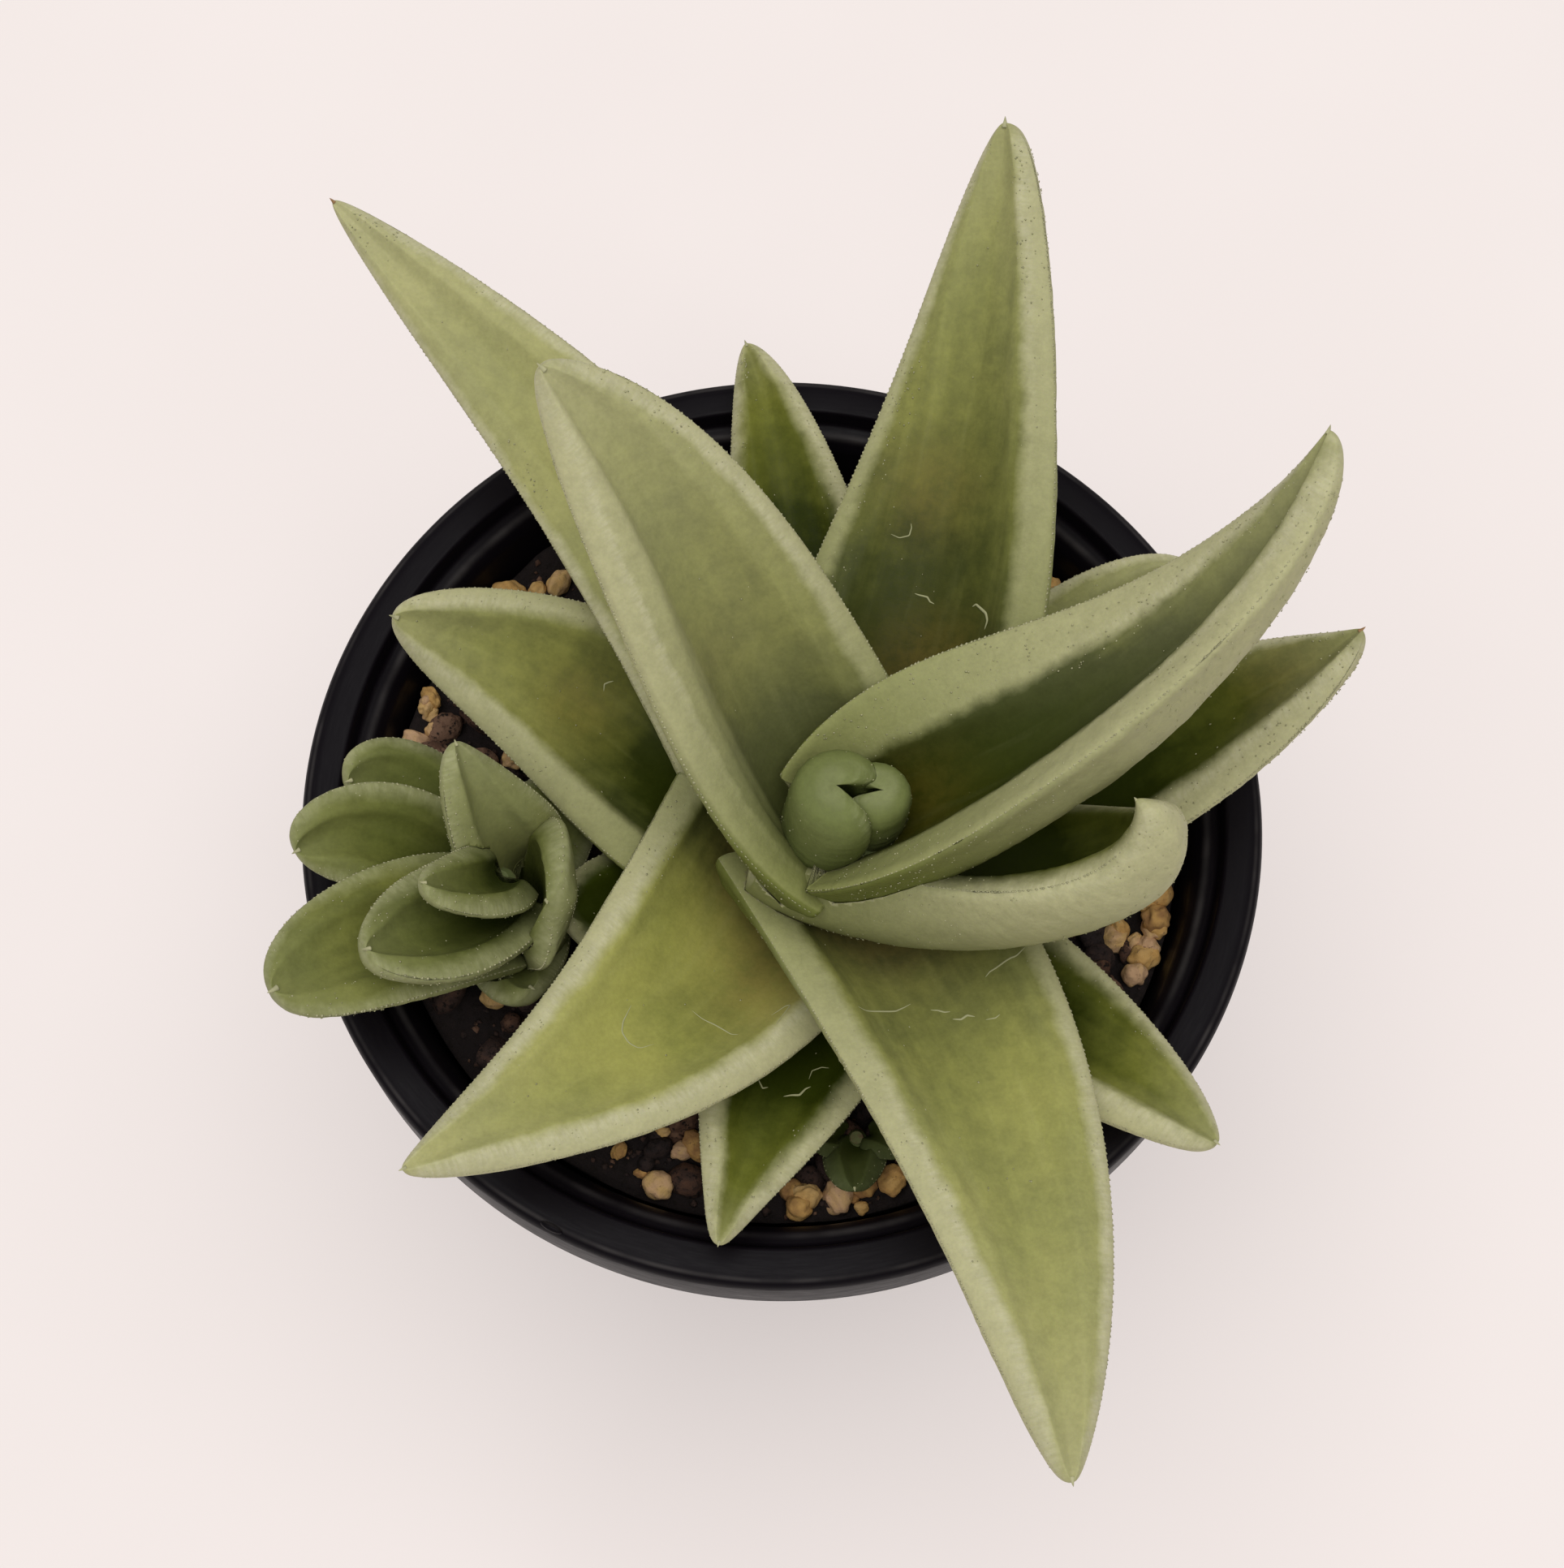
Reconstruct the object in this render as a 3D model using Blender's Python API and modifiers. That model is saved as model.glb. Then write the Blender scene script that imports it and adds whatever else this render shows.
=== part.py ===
"""Potted gasteraloe: a rosette of tapered fleshy leaves, a small offset and a sprout in a nursery pot.

World frame: origin at the centre of the pot's flat bottom, +Z up, metres.
A leaf is one section swept along its midrib. The section is a strip bent on an arc, like a gutter,
with a raised crest a little inside each edge and a keel below. Values in the leaf table are
millimetres and degrees, and each list is read at even steps from the leaf's root to its tip.
"""

import math
import random

import bmesh
import bpy
import numpy as np
from mathutils import Matrix

MM = 0.001
GAP = 0.35                      # mm of clear space left between two pieces that touch

WELD = 0.004                    # mm, corners closer than this are one corner

# The pot in mm. Its wall narrows from the rolled rim to the foot.
POT_RADIUS = 45.0
POT_HEIGHT = 75.0
POT_BASE_RADIUS = 30.0
POT_FLOOR = 2.0
SKIRT_DEPTH = 7.6               # how far the rim's rolled skirt hangs down
SKIRT_WALL = 1.3
FOOT_BEVEL = 0.9
TURN_STEPS = 36
DRAIN_HOLES = 6
DRAIN_RADIUS = 3.5
DRAIN_RING = 20.0
# Places on the flange and the ledge inside it: in from the rim, then down from the pot's top.
RIM_OUTSIDE = [(3.6, 0.0), (1.2, 0.0), (0.35, 0.3), (0.0, 1.0)]
RIM_UNDER = [(1.4, 1.8), (2.3, 2.0), (3.7, 3.6), (5.2, 6.0)]
RIM_INSIDE = [(6.1, 3.4), (5.3, 2.1), (4.0, 1.8), (3.6, 0.0)]

# The soil in mm.
SOIL_TOP = 68.4
SOIL_RADIUS = 37.7
SOIL_CROWN = 0.6                # how much higher the soil is at its middle
SOIL_CORNER = 1.2               # how far up the pot's floor corner is rounded off
WALL_FOOT = 0.6                 # how much narrower than the pot's foot its inside is
GRAIN_COUNT = 62
GRAIN_SEED = 7
GRAIN_SIZE = (1.5, 2.5)         # smallest and largest radius
GRAIN_SPACING = 0.75            # part of two grains' radii that keeps their centres apart
GRAIN_SUNK = 0.15               # part of its radius that a grain's centre sits above the soil
GRAIN_STRETCH = (0.8, 1.25)
GRAIN_ROUGH = (0.85, 1.1)

# Each stem: place of its axis, foot and top heights, radius at the foot and at the top, in mm.
STEMS = {
    "stem": dict(axis=(6.0, -9.0), foot=60.0, top=94.0, radius=(8.5, 3.5)),
    "offset_stem": dict(axis=(-25.5, -9.5), foot=62.0, top=82.0, radius=(3.2, 1.6)),
    "sprout_stem": dict(axis=(6.8, -30.5), foot=64.0, top=70.6, radius=(1.4, 1.0)),
}

STEM_STEPS = 14

LIP = (2.0,)                    # mm from a leaf's crest down to its toothed edge, where none is given
STATIONS_LONG = (0, .11, .23, .36, .49, .62, .74, .85, .93, .977)
STATIONS_SHORT = (0, .14, .30, .46, .62, .77, .89, .965)
TOP_ACROSS = (-1.0, -0.5, 0.0, 0.5, 1.0)        # parts of the way from the midrib to a crest
KEEL_ACROSS = (0.9, 0.45, 0.0, -0.45, -0.9)     # the same on the underside, from left to right

# Young leaves come first: each leaf is cut clear of the ones above it in this table.
LEAVES = {
    "bud_leaf_1": dict(rib=[(7.8, -7.9, 91), (8.2, -7.8, 96), (8.5, -7.8, 101)],
                       half=[2.7, 3.0, 2.6], cup=[140, 140, 130], thick=3.7, band=0.9,
                       back=(-1, .1, .15)),
    "bud_leaf_2": dict(rib=[(3.2, -8.1, 90), (3.9, -8.0, 96), (4.5, -7.9, 102.5)],
                       half=[3.6, 4.0, 3.6], cup=[120, 120, 115], thick=4.6, band=1.2,
                       back=(1, -.2, .15)),
    "leaf_4": dict(rib=[(6.6, -7.6, 90.5), (18.5, -5.6, 101), (32, 1, 112), (43, 14, 124)],
                   half=[10, 10.3, 7, 1.5], cup=[88, 60, 50, 30], roll=[16, -15, -15],
                   thick=5, band=5.3, widest=.54, lip=[1.8, 3.2, 3], back=(-1, 0, 1)),
    "leaf_2": dict(rib=[(4.2, -6, 88.5), (-2, 1, 100), (-9, 10.5, 113), (-19, 19, 125)],
                   half=[11, 10, 7.4, 2.2], cup=[80, 45, 30, 15], roll=[0, 0, -10], thick=5.5,
                   band=3.4),
    "leaf_6": dict(rib=[(-2, -9.2, 89), (15, -12.4, 89.5), (27, -13, 98), (28.5, -11.5, 109)],
                   half=[2.5, 9.3, 7, 1], cup=[60, 60, 40, 20], roll=[-80, -55, -50, -48],
                   thick=5.6, band=1.5, back=(-1, 0, .5)),
    "leaf_3": dict(rib=[(8.5, .5, 82), (14.3, 18, 90), (17.8, 36, 97), (20, 54, 106)],
                   half=[12, 10.4, 7, 2.6], cup=[58, 30, 20, 12], roll=[0, -20, -25],
                   thick=6, band=3.3),
    "leaf_8": dict(rib=[(2.6, -5.5, 79), (14.8, -25.5, 86), (20.8, -45, 91), (23, -63.5, 94)],
                   half=[11.5, 10.4, 6.6, 1.7], cup=[60, 32, 20, 12], roll=[0, -15, -25],
                   thick=6, band=2.8),
    "leaf_5": dict(rib=[(15, -6, 79), (29.5, -.5, 85), (40.5, 4, 91), (50.5, 8.5, 97)],
                   half=[10, 8.3, 6, 1.3], cup=[50, 35, 20, 12], roll=[0, -10, -25], thick=5.5,
                   band=3.2),
    "leaf_9": dict(rib=[(-.7, -6, 76), (-8.5, -20, 82), (-19, -30, 88), (-31.5, -38, 92)],
                   half=[13, 10.2, 5.9, 1.4], cup=[55, 35, 20, 10], roll=[0, -5, -10],
                   thick=5.5, band=2.2),
    "leaf_1": dict(rib=[(1, -4, 73.5), (-8.5, 17, 85), (-23.5, 34, 93), (-41.5, 51.5, 97)],
                   half=[11, 8.3, 5.4, 1.4], cup=[50, 30, 20, 12], roll=[0, -10, -15],
                   thick=5.5, band=3.2),
    "leaf_11": dict(rib=[(-3, -5.5, 75.5), (-13, 5, 79), (-24.5, 11.5, 82), (-35.5, 14.5, 86)],
                    half=[12, 10, 6.6, 2.5], cup=[58, 30, 20, 10], roll=[0, -15], thick=5, band=2.2),
    "leaf_13": dict(rib=[(13, -3, 74), (28, 14, 79), (38.5, 20.5, 83)],
                    half=[9, 7.5, 5, 1.5], cup=[55, 30, 15], roll=[0, -10], thick=5, band=2.5),
    "leaf_7": dict(rib=[(13, -15, 75), (27, -24.5, 80.5), (37.5, -34, 84)],
                   half=[9, 7, 4.6, 1.4], cup=[60, 25, 15], roll=[0, -20], thick=5, band=3.0),
    "leaf_12": dict(rib=[(5, 0, 73), (1, 28, 78), (-3.5, 45.5, 81)],
                    half=[9, 7, 4.3, 1.5], cup=[60, 25, 10], roll=[0, -5], thick=5, band=2.3),
    "leaf_10": dict(rib=[(3, -18, 74), (-2, -31, 78), (-5.5, -42, 80)],
                    half=[9, 6.9, 3.6, 1.1], cup=[50, 25, 10], roll=[0, -5], thick=5, band=2.0),
    "leaf_14": dict(rib=[(-3, -10, 73.5), (-12, -10.5, 77), (-19.5, -12, 81)],
                    half=[6, 6, 5, 2.5], cup=[50, 30, 15], thick=4, band=1.5),
    "offset_leaf_1": dict(rib=[(-25, -10, 84), (-26.5, -12.5, 90), (-30.5, -14, 95)],
                          half=[3, 3.2, 2.7, 1.4], cup=[60, 40, 20], thick=3.5, band=1.0),
    "offset_leaf_2": dict(rib=[(-26, -11, 80), (-29.5, -15.5, 86), (-35.5, -19, 92)],
                          half=[5, 5.4, 5, 3], cup=[80, 55, 35], thick=4, band=1.3, blunt=8),
    "offset_leaf_3": dict(rib=[(-24, -7, 78), (-25.5, -6, 86), (-28.5, -.5, 93)],
                          half=[4.5, 5, 3.6, 1.2], cup=[50, 40, 20], roll=[10, 20],
                          thick=4.5, band=1.8),
    "offset_leaf_4": dict(rib=[(-22, -11, 76), (-21.5, -11, 83), (-20.5, -13.5, 88)],
                          half=[5, 6.2, 6, 3], cup=[50, 20, 10], thick=3.5, band=1.2,
                          back=(-1, 0, .3), blunt=6),
    "offset_leaf_5": dict(rib=[(-27, -12, 76), (-35, -15.5, 83), (-44, -21.5, 88)],
                          half=[6, 6.5, 5.7, 4], cup=[60, 40, 20], roll=[0, 5],
                          thick=4.5, band=2.0, blunt=9),
    "offset_leaf_6": dict(rib=[(-29, -9, 75), (-36.5, -5.5, 81), (-43.5, -7.5, 84)],
                          half=[5, 5.3, 4.2, 2.2], cup=[60, 45, 30], thick=4, band=1.8),
    "offset_leaf_7": dict(rib=[(-24, -12, 73), (-24, -16, 76), (-22.5, -18.5, 78)],
                          half=[4, 4, 3, 2], cup=[40, 25, 15], thick=3.5, band=1.2),
    "offset_leaf_8": dict(rib=[(-28, -5, 73), (-34.5, 1, 76), (-40, 1, 79)],
                          half=[4, 4.6, 4, 2.2], cup=[40, 25, 15], roll=[0, 10],
                          thick=3.5, band=1.2),
    "offset_leaf_9": dict(rib=[(-25, -6, 72.5), (-22, -2, 75), (-17.5, 1, 77)],
                          half=[4, 5, 4, 2], cup=[40, 20, 10], thick=3.5, band=1.5),
    "sprout_leaf_1": dict(rib=[(7, -31, 70), (6.5, -33, 72), (6.5, -36, 74)],
                          half=[2, 2.4, 2, .8], cup=[40, 25, 10], thick=2, band=.8),
    "sprout_leaf_2": dict(rib=[(6, -30, 69.5), (4.5, -30.5, 71.5), (2.5, -31, 74)],
                          half=[1.5, 2, 1.6, .8], cup=[40, 25, 10], thick=2, band=.8),
    "sprout_leaf_3": dict(rib=[(8, -30, 69.5), (9, -30.5, 71.5), (11, -32.5, 74)],
                          half=[1.5, 2, 1.6, .8], cup=[40, 25, 10], thick=2, band=.8),
}
LONGEST_SMALL_LEAF = 24.0       # mm from root to tip, under which the short list of stations is used
UNROLLED = (0.0,)               # degrees of roll about the midrib, where none is given
BLUNT = 14                      # how late a leaf's outline closes to its tip, where none is given
FULL_BODY = 1.25                # a very wide section has this part of the leaf's thickness
HALF_BODY = 2.2                 # mm of half width at which a section has half of that
WIDEST_BAND = 0.42              # most of the half width that lies beyond a crest, where none is given
DISH = 0.1                      # part of the lip by which the upper face sinks between the crests
KEEL_POWER = 0.8                # how sharply the underside rises from its keel to the edges
EDGE_OUT = 2.0                  # parts of the swell that a cutter's edge grows outward
EDGE_DOWN = 0.1                 # parts of the swell that a cutter's edge grows downward


def through(knots, t):
    """The polynomial that takes the listed values at even steps of t from 0 to 1."""
    knots = np.asarray(knots, float)
    steps = np.linspace(0, 1, len(knots))
    total = 0
    for i, knot in enumerate(knots):
        weight = np.ones_like(t)
        for j, step in enumerate(steps):
            if j != i:
                weight = weight * (t - step) / (steps[i] - step)
        total = total + np.multiply.outer(weight, knot)
    return total


def unit(v):
    """Each row of v at length 1."""
    return v / np.linalg.norm(v, axis=-1, keepdims=True)


def leaf_frame(leaf, t):
    """Midrib points, face normals and left directions at t, after the leaf's roll."""
    rib = through(leaf["rib"], t)
    ahead = unit(through(leaf["rib"], t + 1e-4) - through(leaf["rib"], t - 1e-4))
    outward = unit(np.subtract(leaf["rib"][-1], leaf["rib"][0])[:2].astype(float))
    back = unit(np.array(leaf.get("back", (-outward[0], -outward[1], 1.0)), float))
    face = unit(back - (ahead @ back)[:, None] * ahead)
    left = np.cross(face, ahead)
    roll = np.radians(through(leaf.get("roll", UNROLLED), t))[:, None]
    return rib, face * np.cos(roll) - left * np.sin(roll), left * np.cos(roll) + face * np.sin(roll)


def leaf_section(leaf, t, swell):
    """The section at each t in mm: half way across to a crest, then places across and heights."""
    width = through(leaf["half"], t) * np.sqrt(1 - t ** leaf.get("blunt", BLUNT))
    slim = (FULL_BODY * width / (width + HALF_BODY))[:, None]
    width = width[:, None]
    crest = width - np.minimum(leaf["band"], leaf.get("widest", WIDEST_BAND) * width)
    lip = through(leaf.get("lip", LIP), t)[:, None] * slim
    body = leaf["thick"] * slim
    top = np.array(TOP_ACROSS) * crest
    top_height = swell - DISH * lip * (1 - np.abs(np.array(TOP_ACROSS)))
    keel = np.array(KEEL_ACROSS) * crest
    keel_height = -swell - lip - (body - lip) * (1 - np.abs(keel) / width) ** KEEL_POWER
    edge = width + EDGE_OUT * swell
    edge_height = -lip - EDGE_DOWN * swell
    across = np.hstack([-edge, top, edge, keel])
    height = np.hstack([edge_height, top_height, edge_height, keel_height])
    return crest, across, height


def leaf_points(leaf, t, swell=0.0):
    """World points in mm round the section at each t.

    Between its crests the strip bends on an arc that has turned by the cup angle at each crest.
    Beyond them it runs straight on, and the drop to the edge tips it outward.
    """
    rib, face, left = leaf_frame(leaf, t)
    crest, across, height = leaf_section(leaf, t, swell)
    bend = np.radians(np.maximum(through(leaf["cup"], t), 1.0))[:, None]
    radius = crest / bend
    curved = np.clip(across, -crest, crest)
    turn = curved / radius
    side = (radius - height) * np.sin(turn) + (across - curved) * np.cos(turn)
    rise = radius - (radius - height) * np.cos(turn) + (across - curved) * np.sin(turn)
    return rib[:, None] + side[..., None] * left[:, None] + rise[..., None] * face[:, None]


def loft_faces(rings, count):
    """Triangles between rings of count points, the root's cap strip and the fan at the tip."""
    faces = []
    for ring in range(rings - 1):
        low, high = ring * count, (ring + 1) * count
        for i in range(count):
            j = (i + 1) % count
            faces.append((low + i, low + j, high + j))
            faces.append((low + i, high + j, high + i))
    last = (rings - 1) * count
    tip = rings * count
    faces += [(last + i, last + (i + 1) % count, tip) for i in range(count)]
    upper = range(0, len(TOP_ACROSS) + 2)
    for i in upper[:-1]:
        under, under_next = (count - i) % count, count - i - 1
        if i > 0:
            faces.append((i, under, i + 1))
        if under_next != i + 1:
            faces.append((i + 1, under, under_next))
    return faces


def leaf_mesh(name, leaf, swell=0.0):
    """A closed mesh of the leaf, or of its cutter when swell grows it by that many mm."""
    stretch = np.linalg.norm(np.subtract(leaf["rib"][-1], leaf["rib"][0]))
    stations = STATIONS_SHORT if stretch < LONGEST_SMALL_LEAF else STATIONS_LONG
    t = np.array(stations, float)
    rings = leaf_points(leaf, t, swell)
    ends = through(leaf["rib"], np.array([0.0, 0.02, 0.98, 1.0]))
    rings[0] += swell * unit(ends[0] - ends[1])
    tip = ends[3] + swell * unit(ends[3] - ends[2])
    points = np.vstack([rings.reshape(-1, 3), tip]) * MM
    mesh = bpy.data.meshes.new(name)
    mesh.from_pydata(points.tolist(), [], loft_faces(len(stations), rings.shape[1]))
    facing_out(mesh)
    return mesh


def facing_out(mesh):
    """Turn the faces of a closed mesh outward."""
    cage = bmesh.new()
    cage.from_mesh(mesh)
    bmesh.ops.recalc_face_normals(cage, faces=cage.faces)
    if cage.calc_volume(signed=True) < 0:
        bmesh.ops.reverse_faces(cage, faces=cage.faces)
    cage.to_mesh(mesh)
    cage.free()


def material(name, colour, roughness):
    """A Principled material of one colour."""
    made = bpy.data.materials.new(name)
    made.use_nodes = True
    shader = made.node_tree.nodes["Principled BSDF"]
    shader.inputs["Base Color"].default_value = (*colour, 1.0)
    shader.inputs["Roughness"].default_value = roughness
    made.diffuse_color = (*colour, 1.0)
    return made


def place(mesh, name, home, look=None):
    """An object of the mesh, in the home collection, with its material if one is given."""
    piece = bpy.data.objects.new(name, mesh)
    home.objects.link(piece)
    if look:
        mesh.materials.append(look)
    return piece


def cutter(mesh, name):
    """A wire-drawn object that only cuts."""
    tool = place(mesh, name, cutters)
    tool.hide_render = True
    tool.display_type = "WIRE"
    return tool


def reach(piece):
    """Lowest and highest corner of an object's mesh."""
    points = np.array([v.co[:] for v in piece.data.vertices])
    return points.min(axis=0), points.max(axis=0)


def meet(first, second):
    """True where the boxes of two objects overlap."""
    (a_low, a_high), (b_low, b_high) = reach(first), reach(second)
    return bool(np.all(a_low < b_high) and np.all(b_low < a_high))


def carve(piece, tools):
    """Cut each tool that reaches the piece out of it, then keep the piece's largest body."""
    near = [tool for tool in tools if meet(piece, tool)]
    for tool in near:
        cut = piece.modifiers.new(tool.name, "BOOLEAN")
        cut.operation = "DIFFERENCE"
        cut.solver = "EXACT"
        cut.object = tool
    if near:
        bake(piece)
        keep_largest(piece)


def bake(piece):
    """Replace an object's mesh with what its modifiers make of it."""
    bpy.context.view_layer.update()
    shape = bpy.data.meshes.new_from_object(piece.evaluated_get(bpy.context.evaluated_depsgraph_get()))
    piece.modifiers.clear()
    piece.data = shape


def keep_largest(piece):
    """Delete every loose body of a mesh but the one with the most area."""
    cage = bmesh.new()
    cage.from_mesh(piece.data)
    bmesh.ops.triangulate(cage, faces=cage.faces)
    bmesh.ops.remove_doubles(cage, verts=cage.verts, dist=WELD * MM)
    bodies = []
    unseen = set(cage.faces)
    while unseen:
        body, front = set(), [next(iter(unseen))]
        while front:
            face = front.pop()
            if face in unseen:
                unseen.discard(face)
                body.add(face)
                front += [other for edge in face.edges for other in edge.link_faces]
        bodies.append(body)
    bodies.sort(key=lambda body: sum(face.calc_area() for face in body))
    for body in bodies[:-1]:
        bmesh.ops.delete(cage, geom=list(body), context="FACES")
    bmesh.ops.delete(cage, geom=[v for v in cage.verts if not v.link_faces], context="VERTS")
    cage.to_mesh(piece.data)
    cage.free()


def weld(mesh):
    """Join the corners of a mesh that lie on each other."""
    cage = bmesh.new()
    cage.from_mesh(mesh)
    bmesh.ops.remove_doubles(cage, verts=cage.verts, dist=WELD * MM)
    cage.to_mesh(mesh)
    cage.free()


def turned(name, profile, steps):
    """A mesh of a profile of (radius, height) points in mm, spun once round Z."""
    line = bpy.data.meshes.new(name)
    count = len(profile)
    line.from_pydata([(r * MM, 0.0, z * MM) for r, z in profile],
                     [(i, i + 1) for i in range(count - 1)], [])
    spun = place(line, name, cutters)
    screw = spun.modifiers.new("turn", "SCREW")
    screw.steps = steps
    screw.render_steps = steps
    screw.use_merge_vertices = True
    screw.merge_threshold = WELD * MM
    screw.use_normal_calculate = True
    bake(spun)
    mesh = spun.data
    bpy.data.objects.remove(spun)
    weld(mesh)
    facing_out(mesh)
    return mesh


def make_pot():
    """The turned pot: a rolled flange with a skirt, a stepped ledge inside, and drain holes."""
    def rim(places):
        return [(POT_RADIUS - across, POT_HEIGHT - down) for across, down in places]

    skirt = [(POT_RADIUS - .1, POT_HEIGHT - SKIRT_DEPTH), (POT_RADIUS - SKIRT_WALL, POT_HEIGHT - SKIRT_DEPTH)]
    foot = [(POT_BASE_RADIUS + FOOT_BEVEL, POT_FLOOR), (POT_BASE_RADIUS, 0.0), (0.0, 0.0)]
    inside = [(0.0, POT_FLOOR), (POT_BASE_RADIUS - WALL_FOOT - 1.0, POT_FLOOR),
              (POT_BASE_RADIUS - WALL_FOOT, POT_FLOOR + SOIL_CORNER), (SOIL_RADIUS + .4, SOIL_TOP - 1.0)]
    profile = rim(RIM_OUTSIDE) + skirt + rim(RIM_UNDER) + foot + inside + rim(RIM_INSIDE)
    pot = place(turned("pot", profile, TURN_STEPS), "pot", parts, material("pot", (.02, .017, .022), .38))
    drains = []
    for i in range(DRAIN_HOLES):
        angle = 2 * math.pi * (i + 0.5) / DRAIN_HOLES
        bpy.ops.mesh.primitive_cylinder_add(
            vertices=12, radius=DRAIN_RADIUS * MM, depth=4 * POT_FLOOR * MM,
            location=(DRAIN_RING * math.cos(angle) * MM, DRAIN_RING * math.sin(angle) * MM, 0))
        hole = bpy.context.object
        hole.data.transform(hole.matrix_world)
        hole.matrix_world.identity()
        drains.append(cutter(hole.data.copy(), f"drain_{i}"))
        bpy.data.objects.remove(hole)
    carve(pot, drains)
    return pot


def make_stem(name, swell=0.0):
    """A tapered stem, or its cutter when swell grows it by that many mm."""
    stem = STEMS[name]
    low, high = stem["radius"]
    foot, top = stem["foot"] - swell, stem["top"] + swell
    profile = [(0.0, top), (0.6 * high + swell, top), (high + swell, top - 1.0),
               (low + swell, foot), (0.0, foot)]
    mesh = turned(name, profile, STEM_STEPS)
    mesh.transform(Matrix.Translation((stem["axis"][0] * MM, stem["axis"][1] * MM, 0.0)))
    return mesh


def grain(source, centre, size):
    """A rough pebble: a small icosphere with its corners pushed in and out, in mm."""
    cage = bmesh.new()
    bmesh.ops.create_icosphere(cage, subdivisions=1, radius=size)
    stretch = [source.uniform(*GRAIN_STRETCH) for _ in range(3)]
    for corner in cage.verts:
        push = source.uniform(*GRAIN_ROUGH)
        corner.co = [(centre[k] + corner.co[k] * push * stretch[k]) * MM for k in range(3)]
    mesh = bpy.data.meshes.new("grain")
    cage.to_mesh(mesh)
    cage.free()
    return mesh


def make_soil(tools):
    """The soil that fills the pot, its grains joined to its top, with holes for what stands in it."""
    corner = POT_BASE_RADIUS - WALL_FOOT - GAP
    under = POT_FLOOR + GAP
    profile = [(0.0, SOIL_TOP + SOIL_CROWN), (.6 * SOIL_RADIUS, SOIL_TOP + .5 * SOIL_CROWN),
               (SOIL_RADIUS, SOIL_TOP), (SOIL_RADIUS, SOIL_TOP - 1.0),
               (corner, under + SOIL_CORNER), (corner - 1.0, under), (0.0, under)]
    soil = place(turned("soil", profile, TURN_STEPS), "soil", parts, material("soil", (.07, .045, .03), .95))
    source = random.Random(GRAIN_SEED)
    heap = bpy.data.collections.new("grains")
    spots = []
    while len(spots) < GRAIN_COUNT:
        size = source.uniform(*GRAIN_SIZE)
        ring = (SOIL_RADIUS - GRAIN_STRETCH[1] * size) * math.sqrt(source.random())
        angle = source.uniform(0, 2 * math.pi)
        x, y = ring * math.cos(angle), ring * math.sin(angle)
        if all(math.hypot(x - a, y - b) > GRAIN_SPACING * (size + s) for a, b, s in spots):
            spots.append((x, y, size))
    for x, y, size in spots:
        place(grain(source, (x, y, SOIL_TOP + GRAIN_SUNK * size), size), "grain", heap)
    join = soil.modifiers.new("grains", "BOOLEAN")
    join.operation = "UNION"
    join.operand_type = "COLLECTION"
    join.solver = "MANIFOLD"
    join.collection = heap
    bake(soil)
    for pebble in list(heap.objects):
        bpy.data.objects.remove(pebble)
    bpy.data.collections.remove(heap)
    carve(soil, tools)
    return soil


for old in list(bpy.data.objects):
    bpy.data.objects.remove(old, do_unlink=True)

parts = bpy.data.collections.new("potted_gasteraloe")
cutters = bpy.data.collections.new("cutters")
bpy.context.scene.collection.children.link(parts)
bpy.context.scene.collection.children.link(cutters)

make_pot()
clear_of = []
for stem_name in STEMS:
    place(make_stem(stem_name), stem_name, parts, material(stem_name, (.25, .33, .12), .7))
    clear_of.append(cutter(make_stem(stem_name, GAP), stem_name + "_clearance"))
for leaf_name, leaf in LEAVES.items():
    colour = (.16, .25, .07) if leaf_name.startswith("leaf") else (.11, .2, .06)
    blade = place(leaf_mesh(leaf_name, leaf), leaf_name, parts, material(leaf_name, colour, .6))
    carve(blade, clear_of)
    clear_of.append(cutter(leaf_mesh(leaf_name, leaf, GAP), leaf_name + "_clearance"))
make_soil(clear_of)
for piece in parts.objects:
    piece.data.shade_smooth()
    piece.data.set_sharp_from_angle(angle=math.radians(40))
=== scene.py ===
# %% [markdown]
# # A potted gasteraloe
#
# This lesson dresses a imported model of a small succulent: a rosette of fleshy, channelled leaves with an
# offset and a sprout, in a black nursery pot of gritty soil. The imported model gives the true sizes. Each of
# its plain pieces gets a finer piece of the same form here, and its finish.
#
# Lengths are in millimetres until a mesh is made, and in metres in the scene. The pot stands on z = 0 with
# its axis on x = y = 0, and the photo's viewer looks from the -Y side, steeply down.

# %% The frame
import math

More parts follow.
